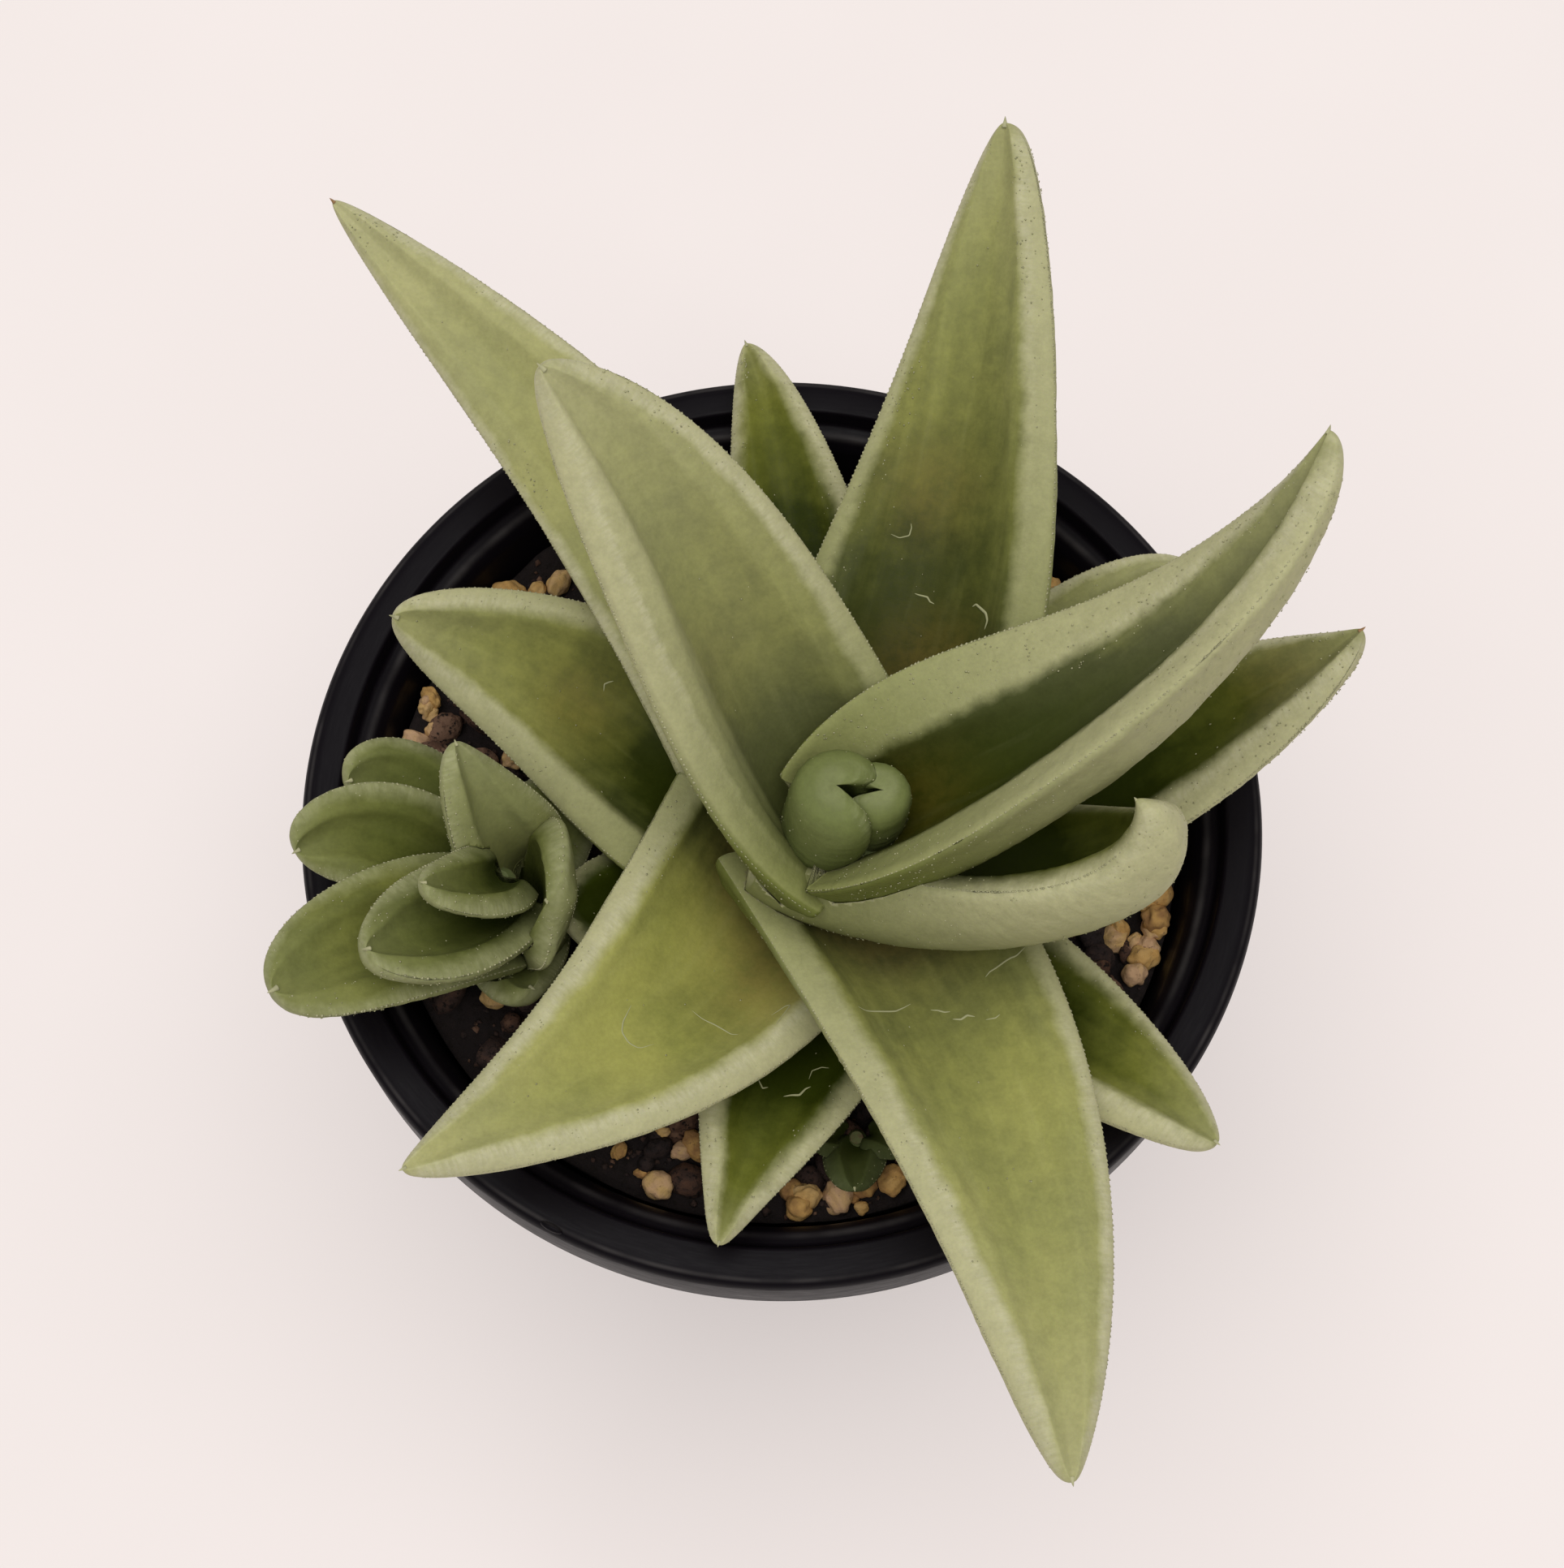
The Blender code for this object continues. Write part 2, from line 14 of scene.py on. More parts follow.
import bmesh
import bpy
import numpy as np
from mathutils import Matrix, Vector


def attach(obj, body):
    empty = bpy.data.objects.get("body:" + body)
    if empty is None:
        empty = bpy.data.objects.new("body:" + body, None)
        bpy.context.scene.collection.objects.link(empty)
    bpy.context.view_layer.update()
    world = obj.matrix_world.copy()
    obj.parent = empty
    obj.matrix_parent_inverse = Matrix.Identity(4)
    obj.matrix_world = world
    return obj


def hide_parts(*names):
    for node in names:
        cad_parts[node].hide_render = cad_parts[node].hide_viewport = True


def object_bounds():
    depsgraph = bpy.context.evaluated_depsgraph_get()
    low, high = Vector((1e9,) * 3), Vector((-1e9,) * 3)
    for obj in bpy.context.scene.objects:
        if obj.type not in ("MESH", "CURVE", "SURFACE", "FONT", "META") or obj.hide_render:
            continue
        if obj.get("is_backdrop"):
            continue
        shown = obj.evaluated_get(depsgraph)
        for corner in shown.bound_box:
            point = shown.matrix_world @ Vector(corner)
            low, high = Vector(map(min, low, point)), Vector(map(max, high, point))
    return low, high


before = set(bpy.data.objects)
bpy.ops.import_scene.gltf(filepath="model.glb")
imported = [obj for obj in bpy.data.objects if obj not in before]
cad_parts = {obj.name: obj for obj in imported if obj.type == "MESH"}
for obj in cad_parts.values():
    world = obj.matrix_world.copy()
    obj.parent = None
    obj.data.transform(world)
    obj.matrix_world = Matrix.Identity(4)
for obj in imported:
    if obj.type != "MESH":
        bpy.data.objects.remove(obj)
cad_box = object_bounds()
print("nodes in the frame:", len(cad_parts))

# %% [markdown]
# ## Camera
#
# The photo is taken from above, tilted about 20 degrees away from straight down. The pot's rim is an
# ellipse in it: the ratio of its widths gives the tilt, and its size gives the distance for the lens.
# Standing the camera on a line that leaves a target point at that angle keeps both readable.

# %% Camera
MM = 0.001
PHOTO_ELEVATION = math.radians(70)
TARGET = Vector((0.0, 0.0022, 0.075))
DISTANCE, LENS, NEAR_CLIP = 0.260, 63.7, 0.01


def looking(name, data, place):
    """A camera or lamp with that data, stood at a place and turned to the target."""
    made = bpy.data.objects.new(name, data)
    made.location = place
    made.rotation_euler = (TARGET - made.location).to_track_quat("-Z", "Y").to_euler()
    bpy.context.scene.collection.objects.link(made)
    return made


eye = TARGET + DISTANCE * Vector((0.0, -math.cos(PHOTO_ELEVATION), math.sin(PHOTO_ELEVATION)))
camera_data = bpy.data.cameras.new("camera")
camera_data.lens, camera_data.clip_start = LENS, NEAR_CLIP
bpy.context.scene.camera = looking("camera", camera_data, eye)
print("camera stands at", [round(c, 3) for c in eye])

# %% [markdown]
# ## Meshes from arrays
#
# Nearly every surface below is a tube: rings of points that a formula works out as one array, and a point
# that closes each end. One helper numbers a tube's faces, and another puts points, faces and per-point
# values into a mesh in one go. The materials read the values, such as how far a point lies from a crest.

# %% Mesh helpers
def tube_faces(rows, columns):
    """Quads between rings of points, and a fan of triangles to each of the two end points after them.

    They face the side from which rows rise to the left and columns run upward.
    """
    row, column = np.arange(rows - 1)[:, None] * columns, np.arange(columns)
    beside, last = (column + 1) % columns, (rows - 1) * columns
    kinds = [(row + column, row + columns + column, row + columns + beside, row + beside),
             (column, beside, rows * columns), (last + beside, last + column, rows * columns + 1)]
    return [np.stack(np.broadcast_arrays(*corners), axis=-1).reshape(-1, len(corners)) for corners in kinds]


def joined(parts):
    """Points and faces of several parts as one: each part's numbers move on by the points before it."""
    starts = np.cumsum([0] + [len(points) for points, _ in parts])
    faces = [face + start for (_, part), start in zip(parts, starts) for face in part]
    return np.vstack([points for points, _ in parts]), faces


def mesh_piece(name, points, faces, values=None, flat=None):
    """An object of points in millimetres and a list of face arrays.

    values holds a number per point for each attribute, and flat a UV pair per point.
    """
    mesh = bpy.data.meshes.new(name)
    mesh.vertices.add(len(points))
    mesh.vertices.foreach_set("co", (np.asarray(points) * MM).ravel())
    corners = np.concatenate([face.ravel() for face in faces])
    sizes = np.concatenate([np.full(len(face), face.shape[1]) for face in faces])
    mesh.loops.add(len(corners))
    mesh.loops.foreach_set("vertex_index", corners)
    mesh.polygons.add(len(sizes))
    mesh.polygons.foreach_set("loop_start", np.cumsum(sizes) - sizes)
    mesh.update(calc_edges=True)
    mesh.shade_smooth()
    for key, value in (values or {}).items():
        mesh.attributes.new(key, "FLOAT", "POINT").data.foreach_set("value", value.astype(np.float32))
    if flat is not None:
        mesh.uv_layers.new(name="flat").data.foreach_set("uv", flat[corners].astype(np.float32).ravel())
    piece = bpy.data.objects.new(name, mesh)
    bpy.context.scene.collection.objects.link(piece)
    return piece


print("faces of a tube of 3 rings of 8 points:", sum(len(kind) for kind in tube_faces(3, 8)))

# %% Dress and noise helpers
def dress(piece, finish, slot, *nodes):
    """Give a piece its material, let it ride on the pot's body, and let it stand for the named nodes."""
    piece.data.materials.clear()
    piece.data.materials.append(finish)
    piece.data.polygons.foreach_set("material_index", np.zeros(len(piece.data.polygons), np.int32))
    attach(piece, "root")
    if nodes:
        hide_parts(*nodes)


def value_noise(seed, x, y, cells=64):
    """Smooth noise from -1 to 1: random numbers on a square lattice, blended with 3d^2 - 2d^3."""
    lattice = np.random.default_rng(seed).uniform(-1, 1, (cells, cells))
    i, j = np.floor(x).astype(int), np.floor(y).astype(int)
    u, v = x - i, y - j
    u, v = u * u * (3 - 2 * u), v * v * (3 - 2 * v)
    i, j, k, l = i % cells, j % cells, (i + 1) % cells, (j + 1) % cells
    low = lattice[i, j] * (1 - u) + lattice[k, j] * u
    high = lattice[i, l] * (1 - u) + lattice[k, l] * u
    return low * (1 - v) + high * v


print("noise along a line:", value_noise(0, np.arange(5) / 2, np.zeros(5)).round(2))

# %% [markdown]
# ## Materials from nodes
#
# All finishes are procedural. A class keeps their node trees short: it holds one material, and each of its
# helpers adds a node, fills its sockets with numbers or other nodes' outputs, and returns its output.

# %% Finish helper
class Finish:
    """A material being made. Values that are the same all over go straight onto the shader's sockets."""

    def __init__(self, name, **sockets):
        self.material = bpy.data.materials.new(name)
        self.material.use_nodes = True
        self.tree = self.material.node_tree
        self.shader = self.tree.nodes["Principled BSDF"]
        for socket, value in sockets.items():
            self.shader.inputs[socket.replace("_", " ")].default_value = value
        self.place = self.node("TexCoord", "Object")

    def node(self, kind, output=0, inputs=None, **settings):
        """An output of a new node, whose inputs are filled by value or by link."""
        made = self.tree.nodes.new("ShaderNode" + kind)
        for key, value in settings.items():
            setattr(made, key, value)
        for socket, source in (inputs or {}).items():
            if isinstance(source, bpy.types.NodeSocket):
                self.tree.links.new(source, made.inputs[socket])
            else:
                made.inputs[socket].default_value = source
        return made.outputs[output]

    def maths(self, operation, first, *others):
        """One arithmetic operation on the values from left to right. A value on its own is used with 0."""
        for other in others or (0.0,):
            first = self.node("Math", 0, {0: first, 1: other}, operation=operation)
        return first

    def plus(self, *terms):
        """The sum of values."""
        return self.maths("ADD", *terms)

    def times(self, *terms):
        """The product of values."""
        return self.maths("MULTIPLY", *terms)

    def ranged(self, value, low, high, to_low=0.0, to_high=1.0):
        """A value's smooth step from low to high, stretched to run from to_low to to_high."""
        return self.node("MapRange", 0, {0: value, 1: low, 2: high, 3: to_low, 4: to_high},
                         interpolation_type="SMOOTHSTEP")

    def noise(self, size, detail=2.0, roughness=0.5, place=None):
        """Noise with features about size millimetres across, on coordinates in metres."""
        place = self.place if place is None else place
        return self.node("TexNoise", "Fac", {"Vector": place, "Scale": 1 / (size * MM), "Detail": detail,
                                             "Roughness": roughness})

    def stored(self, name):
        """A per-point value of the mesh."""
        return self.node("Attribute", "Fac", attribute_name=name)

    def blend(self, factor, first, second, mode="MIX"):
        """The colour that goes from the first to the second as the factor goes from 0 to 1."""
        first, second = [c if isinstance(c, bpy.types.NodeSocket) else (*c, 1.0) for c in (first, second)]
        return self.node("Mix", 2, {0: factor, 6: first, 7: second}, data_type="RGBA", blend_type=mode)

    def shaded(self, colour, shade):
        """A colour multiplied by a number."""
        grey = self.node("CombineColor", 0, {0: shade, 1: shade, 2: shade})
        return self.blend(1.0, colour, grey, "MULTIPLY")

    def done(self, **sockets):
        """Link outputs to the shader's sockets, and give back the material."""
        for socket, source in sockets.items():
            self.tree.links.new(source, self.shader.inputs[socket.replace("_", " ")])
        return self.material

    def bump(self, height, strength, depth):
        """A height pattern as a tilt of the surface, with depth in millimetres."""
        return self.node("Bump", "Normal", {"Height": height, "Strength": strength, "Distance": depth * MM})


# %% [markdown]
# ## The pot
#
# A nursery pot is pressed from thin polypropylene: a rolled flange with a hanging skirt, a stepped ledge
# inside it, and a wall that narrows to the foot. A profile spun round the axis says all of this, so the
# surface is (radius(s) cos a, radius(s) sin a, height(s)). Each corner of the profile is rounded first,
# because a moulded corner catches a thin line of light and a sharp one doesn't.

# %% Pot profile
POT_RADIUS, POT_HEIGHT, POT_BASE_RADIUS, POT_FLOOR = 45.0, 75.0, 30.0, 2.0
FLOOR_RADIUS, BEVEL_WIDTH, BEVEL_HEIGHT = POT_BASE_RADIUS - 0.6, 1.0, 1.2
SOIL_RADIUS, SOIL_TOP = 37.7, 68.4
SKIRT = 7.6
# From the ledge inside, over the flange and round its skirt, as (in from the rim, down from the top).
FLANGE = [(6.1, 3.4), (5.3, 2.1), (4.0, 1.8), (3.6, 0.0), (1.3, 0.0), (0.35, 0.3), (0.0, 1.0),
          (0.1, SKIRT), (1.2, SKIRT), (1.4, 1.8), (2.3, 2.0), (3.7, 3.6), (5.2, 6.0)]
POT_STEPS = 240
CORNER_ROUND, MOST_ROUND = 0.35, 0.45


def rounded(corners, radius, steps=4):
    """An open outline with each inner corner cut back by radius and replaced by a quadratic arc."""
    corners = np.array(corners, float)
    middle = corners[1:-1]
    start, end = [middle + way * np.minimum(radius / np.linalg.norm(way, axis=1, keepdims=True), MOST_ROUND)
                  for way in (corners[:-2] - middle, corners[2:] - middle)]
    t = np.linspace(0, 1, steps)[None, :, None]
    arc = (1 - t) ** 2 * start[:, None] + 2 * t * (1 - t) * middle[:, None] + t ** 2 * end[:, None]
    return np.vstack([corners[:1], arc.reshape(-1, 2), corners[-1:]])


def spun(outline, steps):
    """A (radius, height) outline spun round the axis, which both its ends touch.

    Row i is the circle (r_i cos a, r_i sin a, z_i). Each end is one point.
    """
    angle = np.linspace(0, 2 * math.pi, steps, endpoint=False)[None]
    radius, height = outline[1:-1, :1], outline[1:-1, 1:]
    circles = np.stack([radius * np.cos(angle), radius * np.sin(angle), height + 0 * angle], axis=-1)
    poles = np.array([(0, 0, outline[0, 1]), (0, 0, outline[-1, 1])])
    return np.vstack([circles.reshape(-1, 3), poles]), tube_faces(len(outline) - 2, steps)


inside = [(0.0, POT_FLOOR), (FLOOR_RADIUS - BEVEL_WIDTH, POT_FLOOR), (FLOOR_RADIUS, POT_FLOOR + BEVEL_HEIGHT),
          (SOIL_RADIUS + 0.4, SOIL_TOP - 1.0)]
foot = [(POT_BASE_RADIUS + 0.9, POT_FLOOR), (POT_BASE_RADIUS, 0.0), (0.0, 0.0)]
pot_corners = inside + [(POT_RADIUS - across, POT_HEIGHT - down) for across, down in FLANGE] + foot
pot_outline = rounded(pot_corners, CORNER_ROUND)
print("pot outline:", len(pot_corners), "corners,", len(pot_outline), "points once rounded")

# %% [markdown]
# The drain holes go through the floor, away from the middle, where the pot rests on its mount. Six short
# rods cut them with Booleans. A small nick stays on the flange where the mould was filled: it stands out
# at the photo's lower left, so it is a short bead laid on the outer edge.

# %% Pot body
DRAIN_HOLES, DRAIN_RADIUS, DRAIN_RING, DRAIN_STEPS = 6, 3.5, 20.0, 40
NICK_ANGLE, NICK_RING, NICK_HEIGHT = math.radians(242.7), POT_RADIUS - 0.45, POT_HEIGHT - 0.1
NICK_SIZE = (1.1, 0.35, 0.4)


def cut_out(piece, tool):
    """Cut a tool out of a piece for good."""
    cut = piece.modifiers.new("cut", "BOOLEAN")
    cut.operation, cut.solver, cut.object = "DIFFERENCE", "MANIFOLD", tool
    bpy.context.view_layer.update()
    shape = bpy.data.meshes.new_from_object(piece.evaluated_get(bpy.context.evaluated_depsgraph_get()))
    piece.modifiers.clear()
    piece.data = shape


def bead(angle, ring, height, size, rows=9, columns=24):
    """An ellipsoid on a ring: half axes along the ring, outward from it and up.

    A unit ball, (sin b cos a, sin b sin a, cos b), is stretched by size and turned to the ring's angle.
    """
    slope = np.linspace(0, math.pi, rows)
    points, faces = spun(np.column_stack([np.sin(slope), np.cos(slope)]), columns)
    outward, along, up = (points * np.array([size[1], size[0], size[2]])).T
    outward = outward + ring
    return np.column_stack([outward * math.cos(angle) - along * math.sin(angle),
                            outward * math.sin(angle) + along * math.cos(angle), height + up]), faces


nick = mesh_piece("rim_nick", *bead(NICK_ANGLE, NICK_RING, NICK_HEIGHT, NICK_SIZE))
pot = mesh_piece("pot_body", *spun(pot_outline, POT_STEPS))
rod_top, rod_end = POT_FLOOR + 1.0, -1.0
rod = np.array([(0, rod_top), (DRAIN_RADIUS, rod_top), (DRAIN_RADIUS, rod_end), (0, rod_end)])
for step in range(DRAIN_HOLES):
    angle = 2 * math.pi * (step + 0.5) / DRAIN_HOLES
    points, faces = spun(rod, DRAIN_STEPS)
    centre = np.array([DRAIN_RING * math.cos(angle), DRAIN_RING * math.sin(angle), 0.0])
    drain = mesh_piece("drain", points + centre, faces)
    cut_out(pot, drain)
    bpy.data.objects.remove(drain)
print("pot faces:", len(pot.data.polygons))

# %% [markdown]
# ## Black plastic
#
# The pot is black with a hint of violet, and scuffed to a dull shine. The colour barely changes, so the
# roughness does the work: fine scratches run round it. Dust lies in the ledge's corner and a worn line on
# the flange, in bands of radii worked out from the object's own coordinates, so they go all round.

# %% Pot finish
BLACK, DUST = (0.0042, 0.0030, 0.0048), (0.05, 0.045, 0.045)
DUSTY_RINGS = ((39.9, 0.55), (44.3, 0.3))
DUST_FROM, DUST_FULL = (POT_HEIGHT - 4.5) * MM, (POT_HEIGHT - 2.5) * MM
METRES_A_RADIAN = 0.004


def pot_finish():
    """Near-black plastic: scratches in the roughness, dust along two rings."""
    made = Finish("black_plastic", Specular_IOR_Level=0.075)
    x, y, z = made.node("SeparateXYZ", 0, {0: made.place}).node.outputs
    ring = made.node("VectorMath", "Value", {0: made.node("CombineXYZ", 0, {0: x, 1: y})}, operation="LENGTH")
    turn = made.times(made.maths("ARCTAN2", y, x), METRES_A_RADIAN)
    scratch = made.noise(0.25, 3.0, 0.7, made.node("CombineXYZ", 0, {0: turn, 1: ring, 2: z}))
    bands = 0.0
    for radius, width in DUSTY_RINGS:
        off = made.maths("ABSOLUTE", made.maths("SUBTRACT", ring, radius * MM))
        bands = made.maths("MAXIMUM", made.ranged(off, 0.0, width * MM, 1.0, 0.0), bands)
    patchy = made.ranged(made.noise(5.0, 3.0), 0.3, 0.75, 0.15, 0.75)
    grey = made.times(bands, made.ranged(z, DUST_FROM, DUST_FULL), patchy)
    film = made.times(made.ranged(scratch, 0.55, 0.8), 0.05)
    return made.done(Base_Color=made.blend(made.maths("MAXIMUM", grey, film), BLACK, DUST),
                     Roughness=made.ranged(scratch, 0.25, 0.75, 0.34, 0.52),
                     Normal=made.bump(scratch, 0.12, 0.05))


black_plastic = pot_finish()
dress(pot, black_plastic, "pot", "pot")
dress(nick, black_plastic, "pot")
print("nodes of the pot's finish:", len(black_plastic.node_tree.nodes))

# %% [markdown]
# ## Soil
#
# The mix is dark bark and peat with pumice stones, the palest things inside the pot. The bed below them
# is one closed turned body whose top is a height field: the crown of the CAD soil plus three sizes of
# noise. The loose grains on it are copies of a few simple balls, and their colours differ grain by grain.

# %% Soil bed
SOIL_CROWN, BED_SINK = 0.6, 0.9
BED_ROUGH = [(6.0, 0.9), (2.2, 0.55), (0.9, 0.25)]
BED_RINGS, BED_STEPS = 70, 240
BED_GAP, BED_SIDE = 0.35, 1.2


def bed_height(x, y):
    """Height of the soil's top: a low crown, sunk by BED_SINK, plus noise of each listed size and depth."""
    ring = np.hypot(x, y) / SOIL_RADIUS
    height = SOIL_TOP - BED_SINK + SOIL_CROWN * (1 - ring ** 2)
    for index, (size, depth) in enumerate(BED_ROUGH):
        height = height + depth * value_noise(40 + index, x / size + 100, y / size + 100)
    return height


def bed_mesh():
    """The turned soil body with its top row of circles lifted to bed_height."""
    corner = FLOOR_RADIUS - BED_GAP
    side = [(SOIL_RADIUS, SOIL_TOP - BED_SIDE), (corner, POT_FLOOR + BEVEL_HEIGHT + BED_GAP),
            (corner - BEVEL_WIDTH, POT_FLOOR + BED_GAP), (0.0, POT_FLOOR + BED_GAP)]
    top = [(r, SOIL_TOP) for r in SOIL_RADIUS * np.linspace(0, 1, BED_RINGS)]
    points, faces = spun(np.array(top + side), BED_STEPS)
    lifted = np.r_[np.arange((BED_RINGS - 1) * BED_STEPS), len(points) - 2]
    points[lifted, 2] = bed_height(points[lifted, 0], points[lifted, 1])
    return mesh_piece("soil_bed", points, faces)


soil_bed = bed_mesh()
print("soil bed points:", len(soil_bed.data.vertices))

# %% [markdown]
# A grain starts as a ball of triangles: an icosahedron whose faces are split in four, once or more, with
# the new points pushed out to the sphere. The crumbs are many and tiny, so theirs is an octahedron. Every
# copy is stretched along its own three directions, turned at random, and dented by a few waves across it:
# r = 1 + sum of a_k sin(k . p + phase). All copies of a kind are one array of shape (grains, points, 3).

# %% Grains
OCTAHEDRON = (np.array([(0, 0, 1), (0, 0, -1), (1, 0, 0), (-1, 0, 0), (0, 1, 0), (0, -1, 0)], float),
              np.array([(0, 2, 4), (0, 4, 3), (0, 3, 5), (0, 5, 2), (1, 4, 2), (1, 3, 4), (1, 5, 3), (1, 2, 5)]))


def ball(splits):
    """Unit icosahedron points and triangles, each triangle split in four as often as splits says."""
    g = (1 + math.sqrt(5)) / 2
    points = np.array([(-1, g, 0), (1, g, 0), (-1, -g, 0), (1, -g, 0), (0, -1, g), (0, 1, g),
                       (0, -1, -g), (0, 1, -g), (g, 0, -1), (g, 0, 1), (-g, 0, -1), (-g, 0, 1)], float)
    faces = np.array([(0, 11, 5), (0, 5, 1), (0, 1, 7), (0, 7, 10), (0, 10, 11), (1, 5, 9), (5, 11, 4),
                      (11, 10, 2), (10, 7, 6), (7, 1, 8), (3, 9, 4), (3, 4, 2), (3, 2, 6), (3, 6, 8),
                      (3, 8, 9), (4, 9, 5), (2, 4, 11), (6, 2, 10), (8, 6, 7), (9, 8, 1)])
    for _ in range(splits):
        edges = np.sort(np.vstack([faces[:, [0, 1]], faces[:, [1, 2]], faces[:, [2, 0]]]), axis=1)
        unique, which = np.unique(edges, axis=0, return_inverse=True)
        ab, bc, ca = len(points) + which.reshape(3, -1)
        points = np.vstack([points, points[unique].mean(axis=1)])
        a, b, c = faces.T
        faces = np.vstack([np.stack(t, 1) for t in ((a, ab, ca), (b, bc, ab), (c, ca, bc), (ab, bc, ca))])
    return points / np.linalg.norm(points, axis=1, keepdims=True), faces


def unit(v):
    """Each vector of v at length 1."""
    return v / np.linalg.norm(v, axis=-1, keepdims=True)


def turned_at_random(source, count):
    """A random rotation matrix for each of count grains, from random unit quaternions."""
    w, x, y, z = unit(source.normal(size=(4, count)).T).T
    rows = [[1 - 2 * (y * y + z * z), 2 * (x * y - z * w), 2 * (x * z + y * w)],
            [2 * (x * y + z * w), 1 - 2 * (x * x + z * z), 2 * (y * z - x * w)],
            [2 * (x * z - y * w), 2 * (y * z + x * w), 1 - 2 * (x * x + y * y)]]
    return np.array(rows).transpose(2, 0, 1)


def grains(name, seed, centres, sizes, shape, stretch, dent, waves=5):
    """One mesh of a grain at each centre, with a random tone from 0 to 1 stored for each."""
    source = np.random.default_rng(seed)
    count = len(centres)
    unit_points, faces = shape
    direction = source.normal(size=(count, waves, 3)) * 0.45 * waves
    phase = source.uniform(0, 2 * math.pi, (count, waves, 1))
    swell = 1 + dent * np.sin(direction @ unit_points.T + phase).mean(axis=1) * math.sqrt(waves)
    scale = source.uniform(*stretch, (count, 1, 3))
    points = unit_points * scale * swell[..., None] * sizes[:, None, None]
    points = points @ turned_at_random(source, count) + centres[:, None]
    numbers = faces[None] + np.arange(count)[:, None, None] * len(unit_points)
    tone = np.repeat(source.uniform(0, 1, count), len(unit_points))
    return mesh_piece(name, points.reshape(-1, 3), [numbers.reshape(-1, 3)], {"tone": tone})


print("triangles in a crumb:", len(OCTAHEDRON[1]), "and in a ball split once:", len(ball(1)[1]))

# %% [markdown]
# The pumice stones lie where the photo shows them, in small heaps listed as a place, how many, how large
# and how far they spread. Bark chunks and crumbs cover the rest evenly. Each grain's centre is lifted off
# the bed by a part of its size, so it sits partly sunk, and some stones of a heap stand a little higher.

# %% Scatter the grains
# x, y, how many, radius, spread
PUMICE_HEAPS = [
    (35.3, -7.4, 5, 1.9, 1.9), (33.9, -9.6, 4, 1.3, 1.6), (36.0, -10.8, 5, 1.6, 1.6), (33.0, -14.4, 1, 2.0, 0.1),
    (31.7, -9.3, 1, 1.3, 0.1), (-34.8, 12.2, 4, 1.3, 1.3), (-34.4, 8.9, 4, 1.2, 1.3), (-25.6, 7.0, 1, 1.9, 0.1),
    (-11.3, -34.3, 1, 2.0, 0.1), (-9.3, -30.6, 4, 1.5, 1.6), (1.2, -35.0, 4, 1.6, 1.5), (5.0, -35.2, 1, 1.9, 0.2),
    (7.6, -34.6, 4, 1.1, 1.2), (10.6, -34.2, 2, 1.7, 0.9), (-27.0, -16.9, 1, 1.4, 0.1), (27.2, 26.0, 4, 1.3, 1.5),
    (-26.6, 24.5, 2, 1.6, 1.2), (-23.3, 26.0, 2, 1.4, 1.2), (-13.4, -31.6, 2, 1.1, 1.4),
]
PUMICE_LIFT, HEAP_RISE, HEAP_SPREAD, WALL_ROOM = 0.35, 0.5, 0.75, 0.9
BARK_COUNT, CRUMB_COUNT = 620, 2600


def heaps(seed):
    """Centres and sizes of all pumice stones, heap by heap."""
    source = np.random.default_rng(seed)
    centres, sizes = [], []
    for x, y, count, radius, spread in PUMICE_HEAPS:
        size = radius * source.uniform(0.6, 1.0, count)
        place = np.array([x, y]) + source.normal(size=(count, 2)) * spread * HEAP_SPREAD
        ring = np.linalg.norm(place, axis=1)
        place *= np.minimum(1, (SOIL_RADIUS - WALL_ROOM * size) / ring)[:, None]
        height = bed_height(*place.T) + PUMICE_LIFT * size + HEAP_RISE * size * source.uniform(0, 1, count)
        centres.append(np.column_stack([place, height]))
        sizes.append(size)
    return np.vstack(centres), np.concatenate(sizes)


def strewn(name, seed, count, shape, room, sizes, power, lift, stretch, dent):
    """Grains at random places, even over the pot's area, with some room at the wall."""
    source = np.random.default_rng(seed)
    ring = (SOIL_RADIUS - room) * np.sqrt(source.uniform(0, 1, count))
    angle = source.uniform(0, 2 * math.pi, count)
    x, y = ring * np.cos(angle), ring * np.sin(angle)
    size = source.uniform(*sizes, count) ** power
    centres = np.column_stack([x, y, bed_height(x, y) + lift * size])
    return grains(name, seed + 1, centres, size, shape, stretch, dent)


stone_centres, stone_sizes = heaps(11)
pumice = grains("pumice_stones", 12, stone_centres, stone_sizes, ball(3), (0.66, 1.2), 0.095, 9)
bark = strewn("bark_chunks", 21, BARK_COUNT, ball(1), room=1.6, sizes=(0.6, 2.1), power=1.2, lift=0.25,
              stretch=(0.5, 1.2), dent=0.16)
crumbs = strewn("soil_crumbs", 31, CRUMB_COUNT, OCTAHEDRON, room=0.5, sizes=(0.18, 0.5), power=1.0, lift=0.0,
                stretch=(0.6, 1.2), dent=0.2)
print("stones, chunks, crumbs:", len(stone_sizes), BARK_COUNT, CRUMB_COUNT)

# %% [markdown]
# ## Soil finishes
#
# Pumice is a foam of volcanic glass, stained gold and pink by the mix. Each stone's stored tone picks its
# colour between four, and small pits darken it. Bark and peat go from black to brown in the same way.

